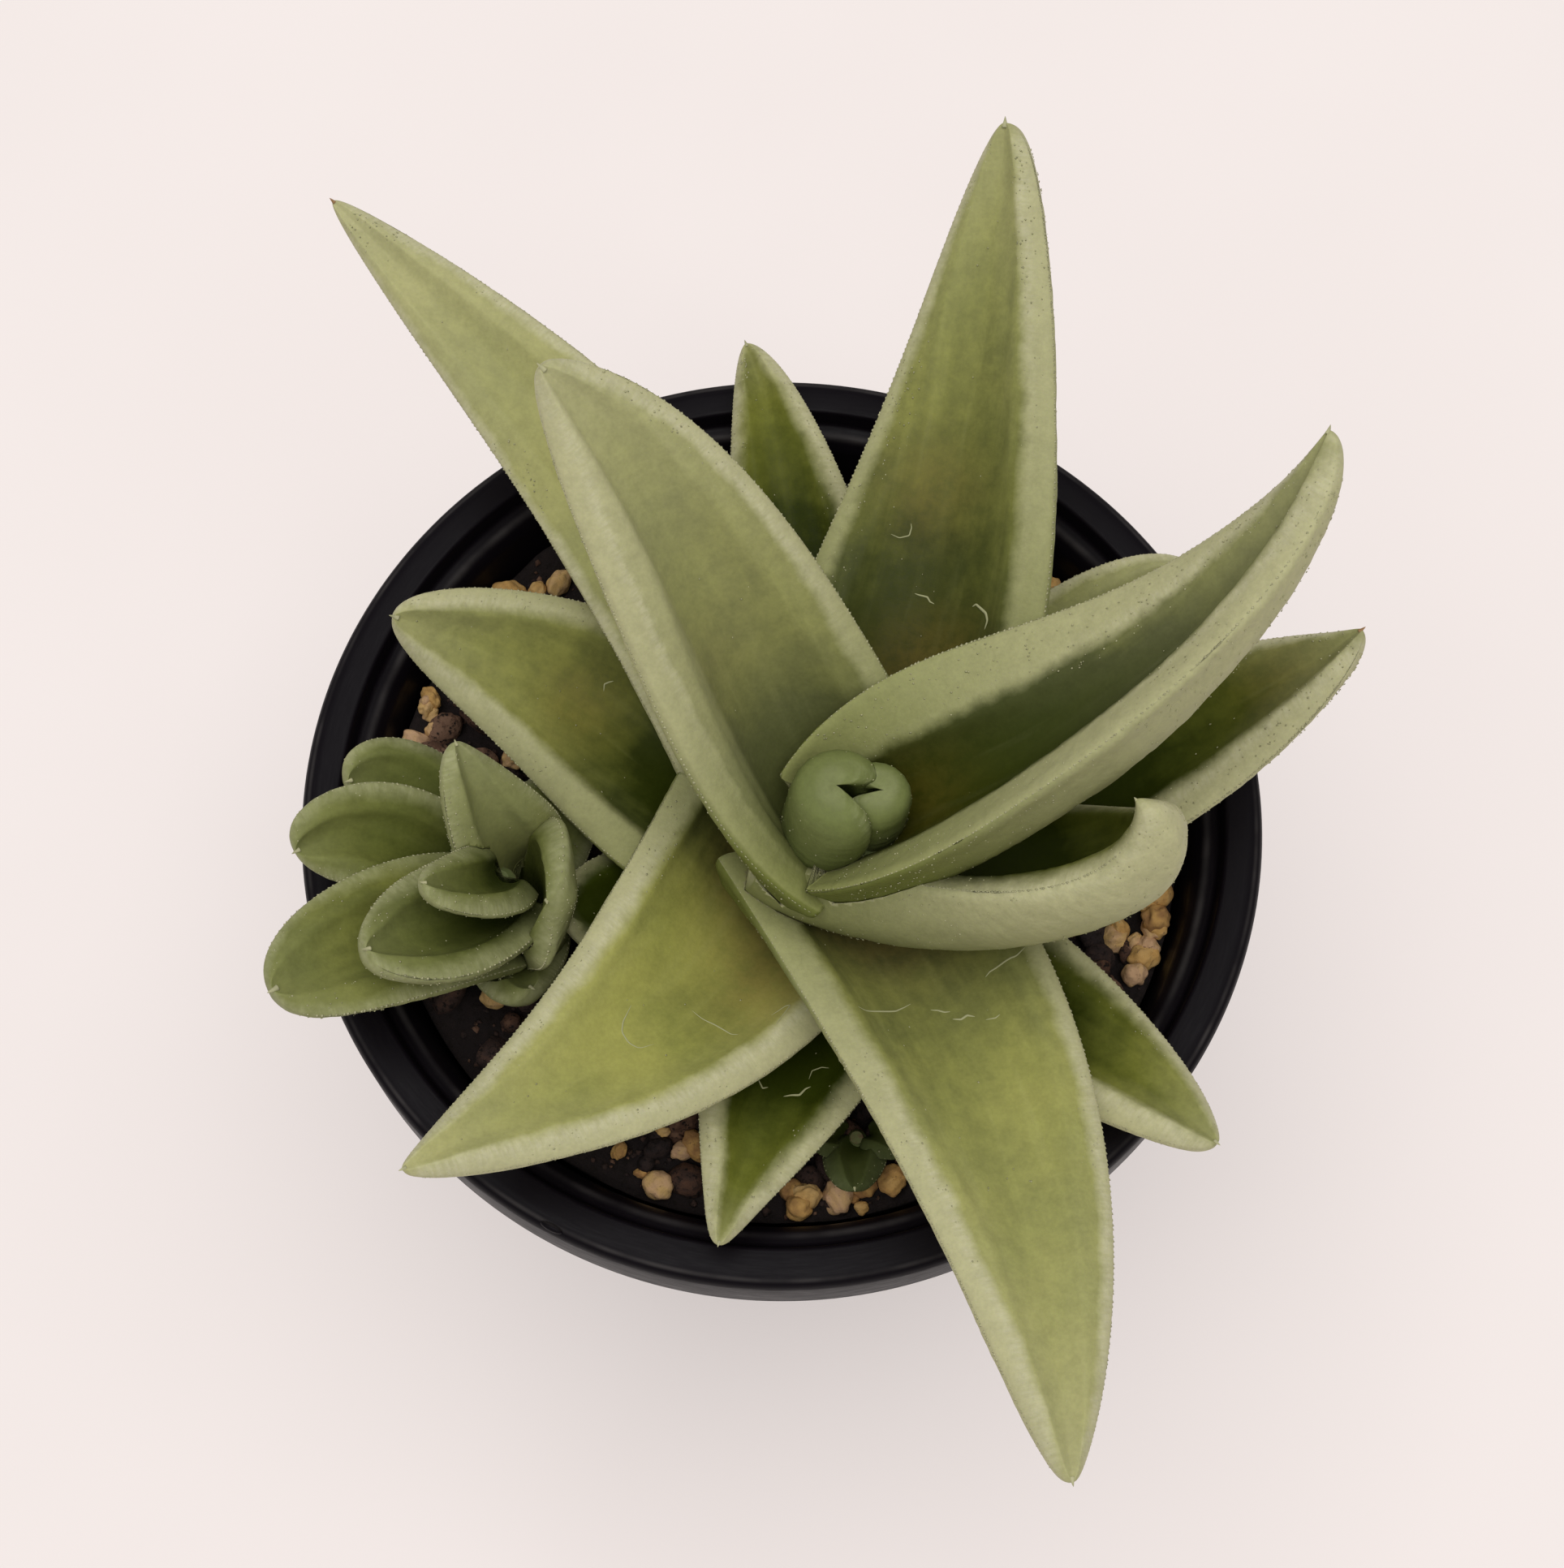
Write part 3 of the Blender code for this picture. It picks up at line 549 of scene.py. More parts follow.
# %% Soil finish
def grain_finish(name, stops, pit_size, pit_colour, pit_share, roughness, depth):
    """A mineral or bark finish: a colour by tone, as (position, colour) stops, with darker pits."""
    made = Finish(name, Roughness=roughness, Specular_IOR_Level=0.25)
    tone = made.plus(made.stored("tone"), made.ranged(made.noise(1.1), 0.3, 0.7, -0.16, 0.16))
    colours = made.node("ValToRGB", 0, {0: tone})
    bar = colours.node.color_ramp
    while len(bar.elements) < len(stops):
        bar.elements.new(0.5)
    for element, (position, colour) in zip(bar.elements, stops):
        element.position, element.color = position, (*colour, 1.0)
    pits = made.ranged(made.noise(pit_size, 4.0, 0.65), pit_share, pit_share + 0.14)
    return made.done(Base_Color=made.blend(pits, colours, pit_colour),
                     Normal=made.bump(made.noise(pit_size, 4.0, 0.7), 0.7, depth))


pumice_finish = grain_finish("pumice", [(0.0, (0.34, 0.18, 0.07)), (0.3, (0.58, 0.34, 0.11)),
                                        (0.65, (0.64, 0.42, 0.17)), (1.0, (0.60, 0.38, 0.22))],
                             0.45, (0.20, 0.11, 0.06), 0.60, 0.85, 0.25)
bark_finish = grain_finish("bark", [(0.0, (0.024, 0.017, 0.017)), (0.5, (0.055, 0.032, 0.026)),
                                    (0.8, (0.10, 0.05, 0.032)), (1.0, (0.20, 0.115, 0.075))],
                           0.5, (0.012, 0.008, 0.007), 0.5, 0.9, 0.35)
bed_finish = grain_finish("peat", [(0.0, (0.014, 0.010, 0.010)), (0.6, (0.028, 0.018, 0.016)),
                                   (1.0, (0.05, 0.028, 0.02))], 0.6, (0.01, 0.007, 0.006), 0.5, 0.95, 0.4)
for piece, finish in ((soil_bed, bed_finish), (pumice, pumice_finish), (bark, bark_finish), (crumbs, bark_finish)):
    dress(piece, finish, "soil", "soil")
    print(piece.name, "is finished with", finish.name)

# %% [markdown]
# ## Leaves
#
# A leaf of this plant is a thick tongue, hollowed like a gutter, whose crests lie a little inside its edges.
# Outside each crest a pale rounded lip falls to a finely toothed edge, and below runs a blunt keel. The
# form is one section swept along a midrib. Every quantity along it is a polynomial through a few numbers,
# read at even steps from root to tip, so one row of this table is one leaf.

# %% Leaf table
# A fold line this far past the edge is no fold.
NO_FOLD = 9.0
PLAIN_LEAF = dict(roll=(0.0,), lip=(2.0,), blunt=14, widest=0.42, fold=NO_FOLD)


def leaf_row(rib, half, cup, thick, band, **more):
    """One leaf, in millimetres and degrees: midrib points, half widths, cups, thickness and lip width.

    cup is how far the section has turned at a crest. More may be given: roll about the midrib, lip height,
    how blunt the end is, the widest lip as a share of the half width, the place of a fold line across the
    leaf, and back, the direction that the inner face looks in.
    """
    return dict(PLAIN_LEAF, rib=rib, half=half, cup=cup, thick=thick, band=band, **more)


# Young leaves come first: each older leaf is cut clear of the ones above it.
LEAVES = {
    "bud_leaf_1": leaf_row([(7.8, -7.9, 91), (8.2, -7.8, 96), (8.5, -7.8, 101)], [2.7, 3.0, 2.6],
                           [140, 140, 130], 3.7, 0.9, back=(-1, .1, .15)),
    "bud_leaf_2": leaf_row([(3.2, -8.1, 90), (3.9, -8.0, 96), (4.5, -7.9, 102.5)], [3.6, 4.0, 3.6],
                           [120, 120, 115], 4.6, 1.2, back=(1, -.2, .15)),
    "leaf_4": leaf_row([(6.6, -7.6, 90.5), (18.5, -5.6, 101), (32, 1, 112), (43, 14, 124)], [10, 10.3, 7, 1.5],
                       [88, 60, 50, 30], 5, 5.3, roll=[16, -15, -15], widest=.54, lip=[1.8, 3.2, 3],
                       back=(-1, 0, 1)),
    "leaf_2": leaf_row([(4.2, -6, 88.5), (-2, 1, 100), (-9, 10.5, 113), (-19, 19, 125)], [11, 10, 7.4, 2.2],
                       [80, 45, 30, 15], 5.5, 3.4, roll=[0, 0, -10], fold=0.42),
    "leaf_6": leaf_row([(-2, -9.2, 89), (15, -12.4, 89.5), (27, -13, 98), (28.5, -11.5, 109)], [2.5, 9.3, 7, 1],
                       [60, 60, 40, 20], 5.6, 1.5, roll=[-80, -55, -50, -48], back=(-1, 0, .5), blunt=9),
    "leaf_3": leaf_row([(8.5, .5, 82), (14.3, 18, 90), (17.8, 36, 97), (20, 54, 106)], [12, 10.4, 7, 2.6],
                       [58, 30, 20, 12], 6, 3.3, roll=[0, -20, -25]),
    "leaf_8": leaf_row([(2.6, -5.5, 79), (14.8, -25.5, 86), (20.8, -45, 91), (23, -63.5, 94)],
                       [11.5, 10.4, 6.6, 1.7], [60, 32, 20, 12], 6, 2.8, roll=[0, -15, -25]),
    "leaf_5": leaf_row([(15, -6, 79), (29.5, -.5, 85), (40.5, 4, 91), (50.5, 8.5, 97)], [10, 8.3, 6, 1.3],
                       [50, 35, 20, 12], 5.5, 3.2, roll=[0, -10, -25]),
    "leaf_9": leaf_row([(-.7, -6, 76), (-8.5, -20, 82), (-19, -30, 88), (-31.5, -38, 92)], [13, 10.2, 5.9, 1.4],
                       [55, 35, 20, 10], 5.5, 2.2, roll=[0, -5, -10]),
    "leaf_1": leaf_row([(1, -4, 73.5), (-8.5, 17, 85), (-23.5, 34, 93), (-41.5, 51.5, 97)], [8.5, 8.3, 5.4, 1.4],
                       [50, 30, 20, 12], 5.5, 3.2, roll=[0, -10, -15]),
    "leaf_11": leaf_row([(-3, -5.5, 75.5), (-13, 5, 79), (-24.5, 11.5, 82), (-35.5, 14.5, 86)],
                        [12, 10, 6.6, 2.5], [58, 30, 20, 10], 5, 2.2, roll=[0, -15]),
    "leaf_13": leaf_row([(13, -3, 74), (28, 14, 79), (38.5, 20.5, 83)], [9, 7.5, 5, 1.5], [55, 30, 15],
                        5, 2.5, roll=[0, -10]),
    "leaf_7": leaf_row([(13, -15, 75), (27, -24.5, 80.5), (37.5, -34, 84)], [9, 7, 4.6, 1.4], [60, 25, 15],
                       5, 3.0, roll=[0, -20]),
    "leaf_12": leaf_row([(5, 0, 73), (1, 28, 78), (-3.5, 45.5, 81)], [9, 7, 4.3, 1.5], [60, 25, 10],
                        5, 2.3, roll=[0, -5]),
    "leaf_10": leaf_row([(3, -18, 74), (-2, -31, 78), (-5.5, -42, 80)], [9, 6.9, 3.6, 1.1], [50, 25, 10],
                        5, 2.0, roll=[0, -5]),
    "leaf_14": leaf_row([(-3, -10, 73.5), (-12, -10.5, 77), (-19.5, -12, 81)], [6, 6, 5, 2.5], [50, 30, 15],
                        4, 1.5),
    "offset_leaf_1": leaf_row([(-25, -10, 84), (-26.5, -12.5, 90), (-30.5, -14, 95)], [3, 3.2, 2.7, 1.4],
                              [60, 40, 20], 3.5, 1.0),
    "offset_leaf_2": leaf_row([(-26, -11, 80), (-29.5, -15.5, 86), (-35.5, -19, 92)], [5, 5.4, 5, 3],
                              [80, 55, 35], 4, 1.3, blunt=8),
    "offset_leaf_3": leaf_row([(-24, -7, 78), (-25.5, -6, 86), (-28.5, -.5, 93)], [4.5, 5, 3.6, 1.2],
                              [50, 40, 20], 4.5, 1.8, roll=[10, 20]),
    "offset_leaf_4": leaf_row([(-22, -11, 76), (-21.5, -11, 83), (-20.5, -13.5, 88)], [5, 6.2, 6, 3],
                              [50, 20, 10], 3.5, 1.2, back=(-1, 0, .3), blunt=6),
    "offset_leaf_5": leaf_row([(-27, -12, 76), (-35, -15.5, 83), (-44, -21.5, 88)], [6, 6.5, 5.7, 4],
                              [60, 40, 20], 4.5, 2.0, roll=[0, 5], blunt=9),
    "offset_leaf_6": leaf_row([(-29, -9, 75), (-36.5, -5.5, 81), (-43.5, -7.5, 84)], [5, 5.3, 4.2, 2.2],
                              [60, 45, 30], 4, 1.8),
    "offset_leaf_7": leaf_row([(-24, -12, 73), (-24, -16, 76), (-22.5, -18.5, 78)], [4, 4, 3, 2],
                              [40, 25, 15], 3.5, 1.2),
    "offset_leaf_8": leaf_row([(-28, -5, 73), (-34.5, 1, 76), (-40, 1, 79)], [4, 4.6, 4, 2.2],
                              [40, 25, 15], 3.5, 1.2, roll=[0, 10]),
    "offset_leaf_9": leaf_row([(-25, -6, 72.5), (-22, -2, 75), (-17.5, 1, 77)], [4, 5, 4, 2],
                              [40, 20, 10], 3.5, 1.5),
    "sprout_leaf_1": leaf_row([(7, -31, 70), (6.5, -33, 72), (6.5, -36, 74)], [2, 2.4, 2, .8],
                              [40, 25, 10], 2, .8),
    "sprout_leaf_2": leaf_row([(6, -30, 69.5), (4.5, -30.5, 71.5), (2.5, -31, 74)], [1.5, 2, 1.6, .8],
                              [40, 25, 10], 2, .8),
    "sprout_leaf_3": leaf_row([(8, -30, 69.5), (9, -30.5, 71.5), (11, -32.5, 74)], [1.5, 2, 1.6, .8],
                              [40, 25, 10], 2, .8),
}
print("leaves:", len(LEAVES))

# %% Leaf sweep
FULL_BODY, HALF_BODY = 1.25, 2.2


def through(knots, t):
    """The polynomial that takes the listed values at even steps of t, in Lagrange's form:
    the sum of knot_i times the product over j of (t - step_j) / (step_i - step_j)."""
    steps = np.linspace(0, 1, len(knots))
    total = 0
    for i, knot in enumerate(np.asarray(knots, float)):
        others = np.delete(steps, i)
        weight = np.prod((np.asarray(t)[..., None] - others) / (steps[i] - others), axis=-1)
        total = total + np.multiply.outer(weight, knot)
    return total


def leaf_frame(leaf, t):
    """Midrib points, face normals and left directions at t.

    The face normal is the leaf's back direction with its part along the midrib taken away, and left is
    face x ahead. A roll of r turns both about the midrib.
    """
    rib = through(leaf["rib"], t)
    ahead = unit(through(leaf["rib"], t + 1e-4) - through(leaf["rib"], t - 1e-4))
    outward = unit(np.subtract(leaf["rib"][-1], leaf["rib"][0])[:2].astype(float))
    back = unit(np.array(leaf.get("back", (-outward[0], -outward[1], 1.0)), float))
    face = unit(back - (ahead @ back)[..., None] * ahead)
    left = np.cross(face, ahead)
    roll = np.radians(through(leaf["roll"], t))[..., None]
    return rib, face * np.cos(roll) - left * np.sin(roll), left * np.cos(roll) + face * np.sin(roll)


def leaf_widths(leaf, t):
    """Half width, half width to the crest, lip height and body thickness at t, in mm."""
    width = through(leaf["half"], t) * np.sqrt(np.maximum(1 - t ** leaf["blunt"], 0))
    slim = FULL_BODY * width / (width + HALF_BODY)
    crest = width - np.minimum(leaf["band"], leaf["widest"] * width)
    return width, crest, through(leaf["lip"], t) * slim, leaf["thick"] * slim


print("half width along leaf_8 in mm:", leaf_widths(LEAVES["leaf_8"], np.linspace(0, 1, 6))[0].round(1))

# %% [markdown]
# The section's height is worked out flat, then bent. On the upper face it sinks a little between the
# crests and falls beyond them on a curve, so the lip is round. The underside rises from a rounded keel.
# Both swell just inside the edge, which makes it blunt. Bending wraps the strip between the crests round
# an arc of radius R = crest / cup: a point at distance u and height h goes to
# ((R - h) sin(u / R), R - (R - h) cos(u / R)). Beyond the crests the strip runs straight on.

# %% Leaf section
DISH, LIP_CURVE, KEEL_ROUND, KEEL_POWER = 0.1, 1.55, 0.08, 0.8
EDGE_SWELL, EDGE_REACH, EDGE_BLUNT = 0.34, 1.3, 30


def leaf_point(leaf, t, across, under, swell=0.0):
    """Points in mm at t along the leaf and across it from -1 to 1, pushed outward by swell mm.

    t, across, under and swell are arrays of one shape. under is True on the leaf's lower face.
    """
    rib, face, left = leaf_frame(leaf, t)
    width, crest, lip, body = leaf_widths(leaf, t)
    flat = across * width
    beyond = np.clip((np.abs(flat) - crest) / (width - crest), 0, 1)
    upper = -DISH * lip * (1 - np.minimum(np.abs(flat) / crest, 1)) - lip * beyond ** LIP_CURVE
    keel = (np.sqrt(across ** 2 + KEEL_ROUND ** 2) - KEEL_ROUND) / (math.hypot(1, KEEL_ROUND) - KEEL_ROUND)
    lower = -lip - (body - lip) * np.clip(1 - keel, 0, 1) ** KEEL_POWER
    near = (1 - np.abs(across)) * width / EDGE_REACH
    edge = EDGE_SWELL * body / leaf["thick"] * np.sqrt(1 - np.abs(across) ** EDGE_BLUNT) * np.exp(-near ** 2)
    height = np.where(under, lower - edge - swell, upper + edge + swell)
    radius = crest / np.radians(np.maximum(through(leaf["cup"], t), 1.0))
    curved = np.clip(flat, -crest, crest)
    turn = curved / radius
    side = (radius - height) * np.sin(turn) + (flat - curved) * np.cos(turn)
    rise = radius - (radius - height) * np.cos(turn) + (flat - curved) * np.sin(turn)
    return rib + side[..., None] * left + rise[..., None] * face


MIDDLE = np.array([0.5]), np.array([0.0]), np.array([False])
print("middle of leaf_8's face in mm:", leaf_point(LEAVES["leaf_8"], *MIDDLE)[0].round(1))

# %% [markdown]
# The grid's columns go round the section: over the upper face from right to left, and back below. They
# crowd towards the edges as sin(pi/2 u), where the form turns fastest. The rows crowd towards the tip.
# A relief of a fraction of a millimetre is added along the surface's own normal: slow swellings,
# a shallow groove over the midrib, faint lengthwise ridges, and small pimples on the lips.

# %% Leaf grid
TIP_CROWDING = 1.35
FOLD_RISE, FOLD_WIDTH = 0.55, 0.06
SWELLING, DIMPLE, RIDGE, PIMPLE, BEAD, GROOVE = 0.16, 0.05, 0.05, 0.045, 0.14, 0.10


def leaf_grid(rows, half_round):
    """Arrays of t, across and under for a closed skin: rows along the leaf, columns round it."""
    t = (1 - (1 - np.linspace(0, 1, rows + 1)[:-1]) ** TIP_CROWDING)[:, None]
    u = np.sin(np.linspace(-1, 1, half_round + 1) * math.pi / 2)
    across = np.concatenate([u, u[-2:0:-1]])[None]
    under = np.arange(across.shape[1])[None] > half_round
    return np.broadcast_arrays(t, across, under)


def along_mm(leaf, t):
    """Distance along the midrib from the root to t, by adding up 200 short steps."""
    steps = np.linspace(0, 1, 201)
    length = np.linalg.norm(np.diff(through(leaf["rib"], steps), axis=0), axis=1)
    return np.interp(t, steps, np.concatenate([[0], np.cumsum(length)]))


def rim_distance(leaf, t, across, under):
    """Signed distance in mm past the crest: negative on the inner face, growing over the lip and below."""
    width, crest, _, _ = leaf_widths(leaf, t)
    flat = np.abs(across) * width
    return np.where(under, (width - crest) + (width - flat), flat - crest)


def beyond_fold(leaf, across, under):
    """From 0 to 1 across a leaf's fold line, on its upper face: (1 + tanh((across - fold) / width)) / 2."""
    return (1 + np.tanh((across - leaf["fold"]) / FOLD_WIDTH)) / 2 * ~under


def relief(seed, flat, down, rim, under, closing):
    """Outward relief in mm at flat mm across and down mm along, fading where the tip closes."""
    slow = (SWELLING * value_noise(seed, flat / 5 + 20, down / 9 + 3)
            + DIMPLE * value_noise(seed + 1, flat / 1.7 + 20, down / 3.5 + 5))
    ridges = RIDGE * value_noise(seed + 2, flat / 1.3 + 20, down / 30 + 9) * (rim < 0)
    pimples = value_noise(seed + 3, flat / 0.75 + 20, down / 0.6 + 7) * np.clip((rim + 1.0) / 1.5, 0, 1)
    bead = BEAD * np.exp(-((rim + 0.2) / 0.8) ** 2) * ~under
    groove = -GROOVE * np.exp(-(flat / 1.3) ** 2) * ~under
    return (slow + ridges + PIMPLE * pimples + bead + groove) * np.clip(closing / 2.5, 0, 1)


print("leaf_8 is", round(float(along_mm(LEAVES["leaf_8"], 1.0)), 1), "mm long")

# %% [markdown]
# The stored numbers drive the finish. rim is the distance past the inner edge of the pale lip. sallow and
# bruise say how yellow and how brown the skin is there. The stored painted shade darkens a leaf that lies
# under others, the hollow of its channel, and the part near the root, where root says how much painted shade
# lies. The stored haze is a paleness of each leaf's own, plus painted light towards the tip and past a fold.
# under is 1 on the lower face and less towards its tip, which leaves the underside's tip pale as painted
# light. Bruises are soft spots: exp(-(distance / radius)^2) times a strength.

# %% Leaf looks
# The look of a leaf: sallow; how much painted shade darkens its face, how much more painted shade lies at the
# root and how far along that reaches; haze, its own paleness; the width in mm of the pale lip on its right
# and on its left; and a list of bruises as (t, across, radius in mm, strength).
LOOKS = {
    "leaf_1": (0.5, (0.0, 0.5, 0.2), 0.30, (0.9, 0.6), []),
    "leaf_2": (0.2, (0.08, 1.4, 0.38), 0.27, (1.5, 2.3), [(0.45, 0.3, 5, 0.15)]),
    "leaf_3": (0.3, (0.04, 1.25, 0.57), 0.05, (2.4, 1.2), [(0.15, -0.2, 6, 0.5), (0.45, 0.25, 5, 0.3)]),
    "leaf_4": (0.1, (0.75, 1.3, 0.5), 0.0, (4.4, 4.4), [(0.15, 0.0, 6, 0.2)]),
    "leaf_5": (0.0, (0.8, 0.4, 0.4), -0.15, (2.6, 1.2), [(0.8, 0.2, 5, 0.25)]),
    "leaf_6": (0.1, (0.8, 0.8, 0.42), -0.2, (0.35, 0.35), [(0.2, -0.5, 6, 0.2)]),
    "leaf_7": (0.25, (0.6, 0.6, 0.5), -0.15, (2.2, 0.8), []),
    "leaf_8": (0.5, (0.0, 1.1, 0.34), 0.17, (2.1, 1.1), [(0.1, 0.1, 7, 0.9)]),
    "leaf_9": (0.65, (0.0, 0.8, 0.2), 0.09, (1.5, 1.9), [(0.05, 0.0, 6, 0.5), (0.22, 0.5, 6, 0.5)]),
    "leaf_10": (0.1, (0.66, 0.6, 0.5), -0.25, (1.5, 1.0), []),
    "leaf_11": (0.3, (0.08, 1.0, 0.62), 0.0, (1.7, 2.5), [(0.5, 0.1, 4, 0.3)]),
    "leaf_12": (0.3, (0.76, 0.7, 0.5), -0.3, (1.1, 0.6), []),
    "leaf_13": (0.0, (0.3, 0.3, 0.3), 0.2, (0.8, 0.8), []),
    "leaf_14": (0.1, (1.2, 1.2, 0.8), -0.4, (0.3, 0.3), []),
    "offset_leaf_3": (0.3, (0.0, 0.4, 0.3), 0.6, (0.5, 0.6), []),
    "offset_leaf_5": (0.25, (0.1, 0.7, 0.4), 0.0, (0.5, 0.5), []),
    "offset_leaf_6": (0.1, (0.35, 0.6, 0.3), 0.0, (0.5, 0.5), []),
}
PLAIN_LOOK = (0.05, (0.3, 0.7, 0.35), 0.0, (0.45, 0.45), [])
print("leaves with a look of their own:", len(LOOKS))

# %% Leaf mesh
# Painted shade darkens the hollow of a channel, and painted light pales the tip and the side past a fold.
LIP_SHARE, FULL_HOLLOW, HOLLOW_PAINTED_SHADE, TIP_PAINTED_LIGHT, FOLD_PAINTED_LIGHT = 0.42, 60, 0.2, 0.5, 0.32


def leaf_values(name, leaf, t, across, under):
    """The numbers per point that the finish reads, and coordinates in mm across and along the leaf."""
    sallow, (dark, darker, along), haze_and_painted_light, lips, bruises = LOOKS.get(name, PLAIN_LOOK)
    width, crest, _, _ = leaf_widths(leaf, t)
    flat, down = across * width, along_mm(leaf, t)
    lip = np.minimum(np.where(across < 0, lips[0], lips[1]) * (1.15 - 0.4 * t), LIP_SHARE * width)
    bruise = np.zeros(t.shape)
    for at, aside, radius, strength in bruises:
        off = np.hypot(flat - aside * np.interp(at, t[:, 0], width[:, 0]), down - along_mm(leaf, at))
        bruise = bruise + strength * np.exp(-(off / radius) ** 2) * ~under
    # Painted shade: the face darkens over a leaf that lies under others, near the root and in the channel's
    # hollow.
    root = darker * np.exp(-(t / along) ** 2)
    hollow = np.clip(1 - (flat / crest) ** 2, 0, 1) * through(leaf["cup"], t) / FULL_HOLLOW
    values = {"rim": np.where(under, lip + width - np.abs(flat), np.abs(flat) - width + lip),
              "root": root, "under": under * (1 - 0.75 * t), "bruise": bruise, "sallow": sallow + 0 * t,
              "painted_shade": dark * (1 - 0.5 * t ** 2) + root + HOLLOW_PAINTED_SHADE * hollow,
              "haze_and_painted_light": haze_and_painted_light + TIP_PAINTED_LIGHT * t ** 3 + FOLD_PAINTED_LIGHT * beyond_fold(leaf, across, under)}
    return values, flat, down


def leaf_skin(name, leaf, rows, half_round, seed=None, swell=0.0):
    """A closed mesh of one leaf. A seed adds relief, and swell grows it, for use as a cutter."""
    t, across, under = leaf_grid(rows, half_round)
    values, flat, down = leaf_values(name, leaf, t, across, under)
    if seed is not None:
        closing = np.minimum(leaf_widths(leaf, t)[0], (1 - t) * down.max())
        swell = relief(seed, flat, down, rim_distance(leaf, t, across, under), under, closing)
        swell = swell + FOLD_RISE * beyond_fold(leaf, across, under) * np.clip(4 * (1 - t), 0, 1)
    points = leaf_point(leaf, t, across, under, swell + 0 * t)
    ends = np.array([points[0].mean(axis=0), leaf["rib"][-1]])
    values = {key: np.concatenate([value.ravel(), value[[0, -1], 0]]) for key, value in values.items()}
    chart = np.stack([flat, down], axis=-1).reshape(-1, 2) * MM
    chart = np.vstack([chart, [(0, 0), (0, down.max() * MM)]])
    return mesh_piece(name + "_blade", np.vstack([points.reshape(-1, 3), ends]), tube_faces(*t.shape), values,
                      chart)


print("stored at each point:", sorted(leaf_values("leaf_8", LEAVES["leaf_8"], *leaf_grid(4, 4))[0]))

# %% [markdown]
# Where leaves crowd at their roots, an older one gives way to a younger one. The frame's solids are cut
# in the same order. Each finished leaf also leaves a coarse cutter, grown by the clearance, and the
# cutters near an older leaf are taken from it in Booleans. What a cut splits off is then dropped: of all
# connected bodies of the mesh only the one with the most points stays.

# %% Cutting leaves clear
# Leaves longer than so many mm get a grid of (rows, columns over one face).
SKIN_GRIDS = ((38.0, (190, 58)), (24.0, (130, 50)), (0.0, (70, 34)))
CUTTER_GRID, CLEARANCE = (26, 14), 0.12


def joined_labels(count, edges):
    """The lowest point number that each point is joined to, by passing labels along edges until none change."""
    label = np.arange(count)
    while True:
        low = label.copy()
        np.minimum.at(low, edges[:, 0], label[edges[:, 1]])
        np.minimum.at(low, edges[:, 1], label[edges[:, 0]])
        low = low[low]
        if np.array_equal(low, label):
            return label
        label = low


def keep_main_body(mesh):
    """Delete every body of a mesh but the one with the most points."""
    edges = np.empty(2 * len(mesh.edges), np.int32)
    mesh.edges.foreach_get("vertices", edges)
    label = joined_labels(len(mesh.vertices), edges.reshape(-1, 2))
    bodies, sizes = np.unique(label, return_counts=True)
    if len(bodies) > 1:
        cage = bmesh.new()
        cage.from_mesh(mesh)
        cage.verts.ensure_lookup_table()
        extra = [cage.verts[i] for i in np.flatnonzero(label != bodies[np.argmax(sizes)])]
        bmesh.ops.delete(cage, geom=extra, context="VERTS")
        cage.to_mesh(mesh)
        cage.free()


def reach(piece):
    """Lowest and highest corner of an object's mesh."""
    points = np.empty(3 * len(piece.data.vertices))
    piece.data.vertices.foreach_get("co", points)
    return points.reshape(-1, 3).min(axis=0), points.reshape(-1, 3).max(axis=0)


def cut_clear(piece, tools):
    """Take each tool that reaches the piece out of it."""
    low, high = reach(piece)
    near = [tool for tool in tools if np.all(reach(tool)[0] < high) and np.all(reach(tool)[1] > low)]
    for tool in near:
        bpy.context.scene.collection.objects.link(tool)
        cut_out(piece, tool)
        bpy.context.scene.collection.objects.unlink(tool)
    if near:
        keep_main_body(piece.data)


blades, cutters = {}, []
for index, (name, leaf) in enumerate(LEAVES.items()):
    grid = next(grid for least, grid in SKIN_GRIDS if along_mm(leaf, 1.0) > least)
    blade = leaf_skin(name, leaf, *grid, seed=100 + 10 * index)
    cut_clear(blade, cutters)
    blade.data.shade_smooth()
    blades[name] = blade
    cutters.append(leaf_skin(name + "_cutter", leaf, *CUTTER_GRID, swell=CLEARANCE))
    bpy.context.scene.collection.objects.unlink(cutters[-1])
print("leaf faces:", {name: len(blade.data.polygons) for name, blade in blades.items()})

# %% [markdown]
# ## Teeth, pimples and points
#
# The edges are finely toothed: about two teeth a millimetre, each a fraction of one high and bent towards
# the tip. The lips and undersides carry sparse whitish pimples, and each leaf ends in a short point. They
# would need far too fine a grid as relief, so each tooth or pimple is a small closed double pyramid, half
# sunk: the octahedron above with its corners at place + h up, place - h up, and +- a along, +- b to the side.

# %% Growths on the skin
TOOTH_PITCH, TOOTH_HEIGHT, TOOTH_LENGTH, TOOTH_BREADTH = 0.48, 0.19, 0.17, 0.06
PIMPLES_A_SQUARE_CM, PIMPLE_SIZES = 110, (0.04, 0.10)
EDGE, STEP = 0.9999, 1e-3


def double_pyramids(places, up, along, sizes):
    """One double pyramid at each place. sizes are (height, length, breadth) each."""
    along = unit(along - (along * up).sum(-1, keepdims=True) * up)
    side = np.cross(up, along)
    height, length, breadth = sizes.T[:, :, None]
    corners = [places + height * up + 0.5 * length * along, places - height * up, places + length * along,
               places - length * along, places + breadth * side, places - breadth * side]
    faces = OCTAHEDRON[1][None] + 6 * np.arange(len(places))[:, None, None]
    return np.stack(corners, axis=1).reshape(-1, 3), [faces.reshape(-1, 3)]


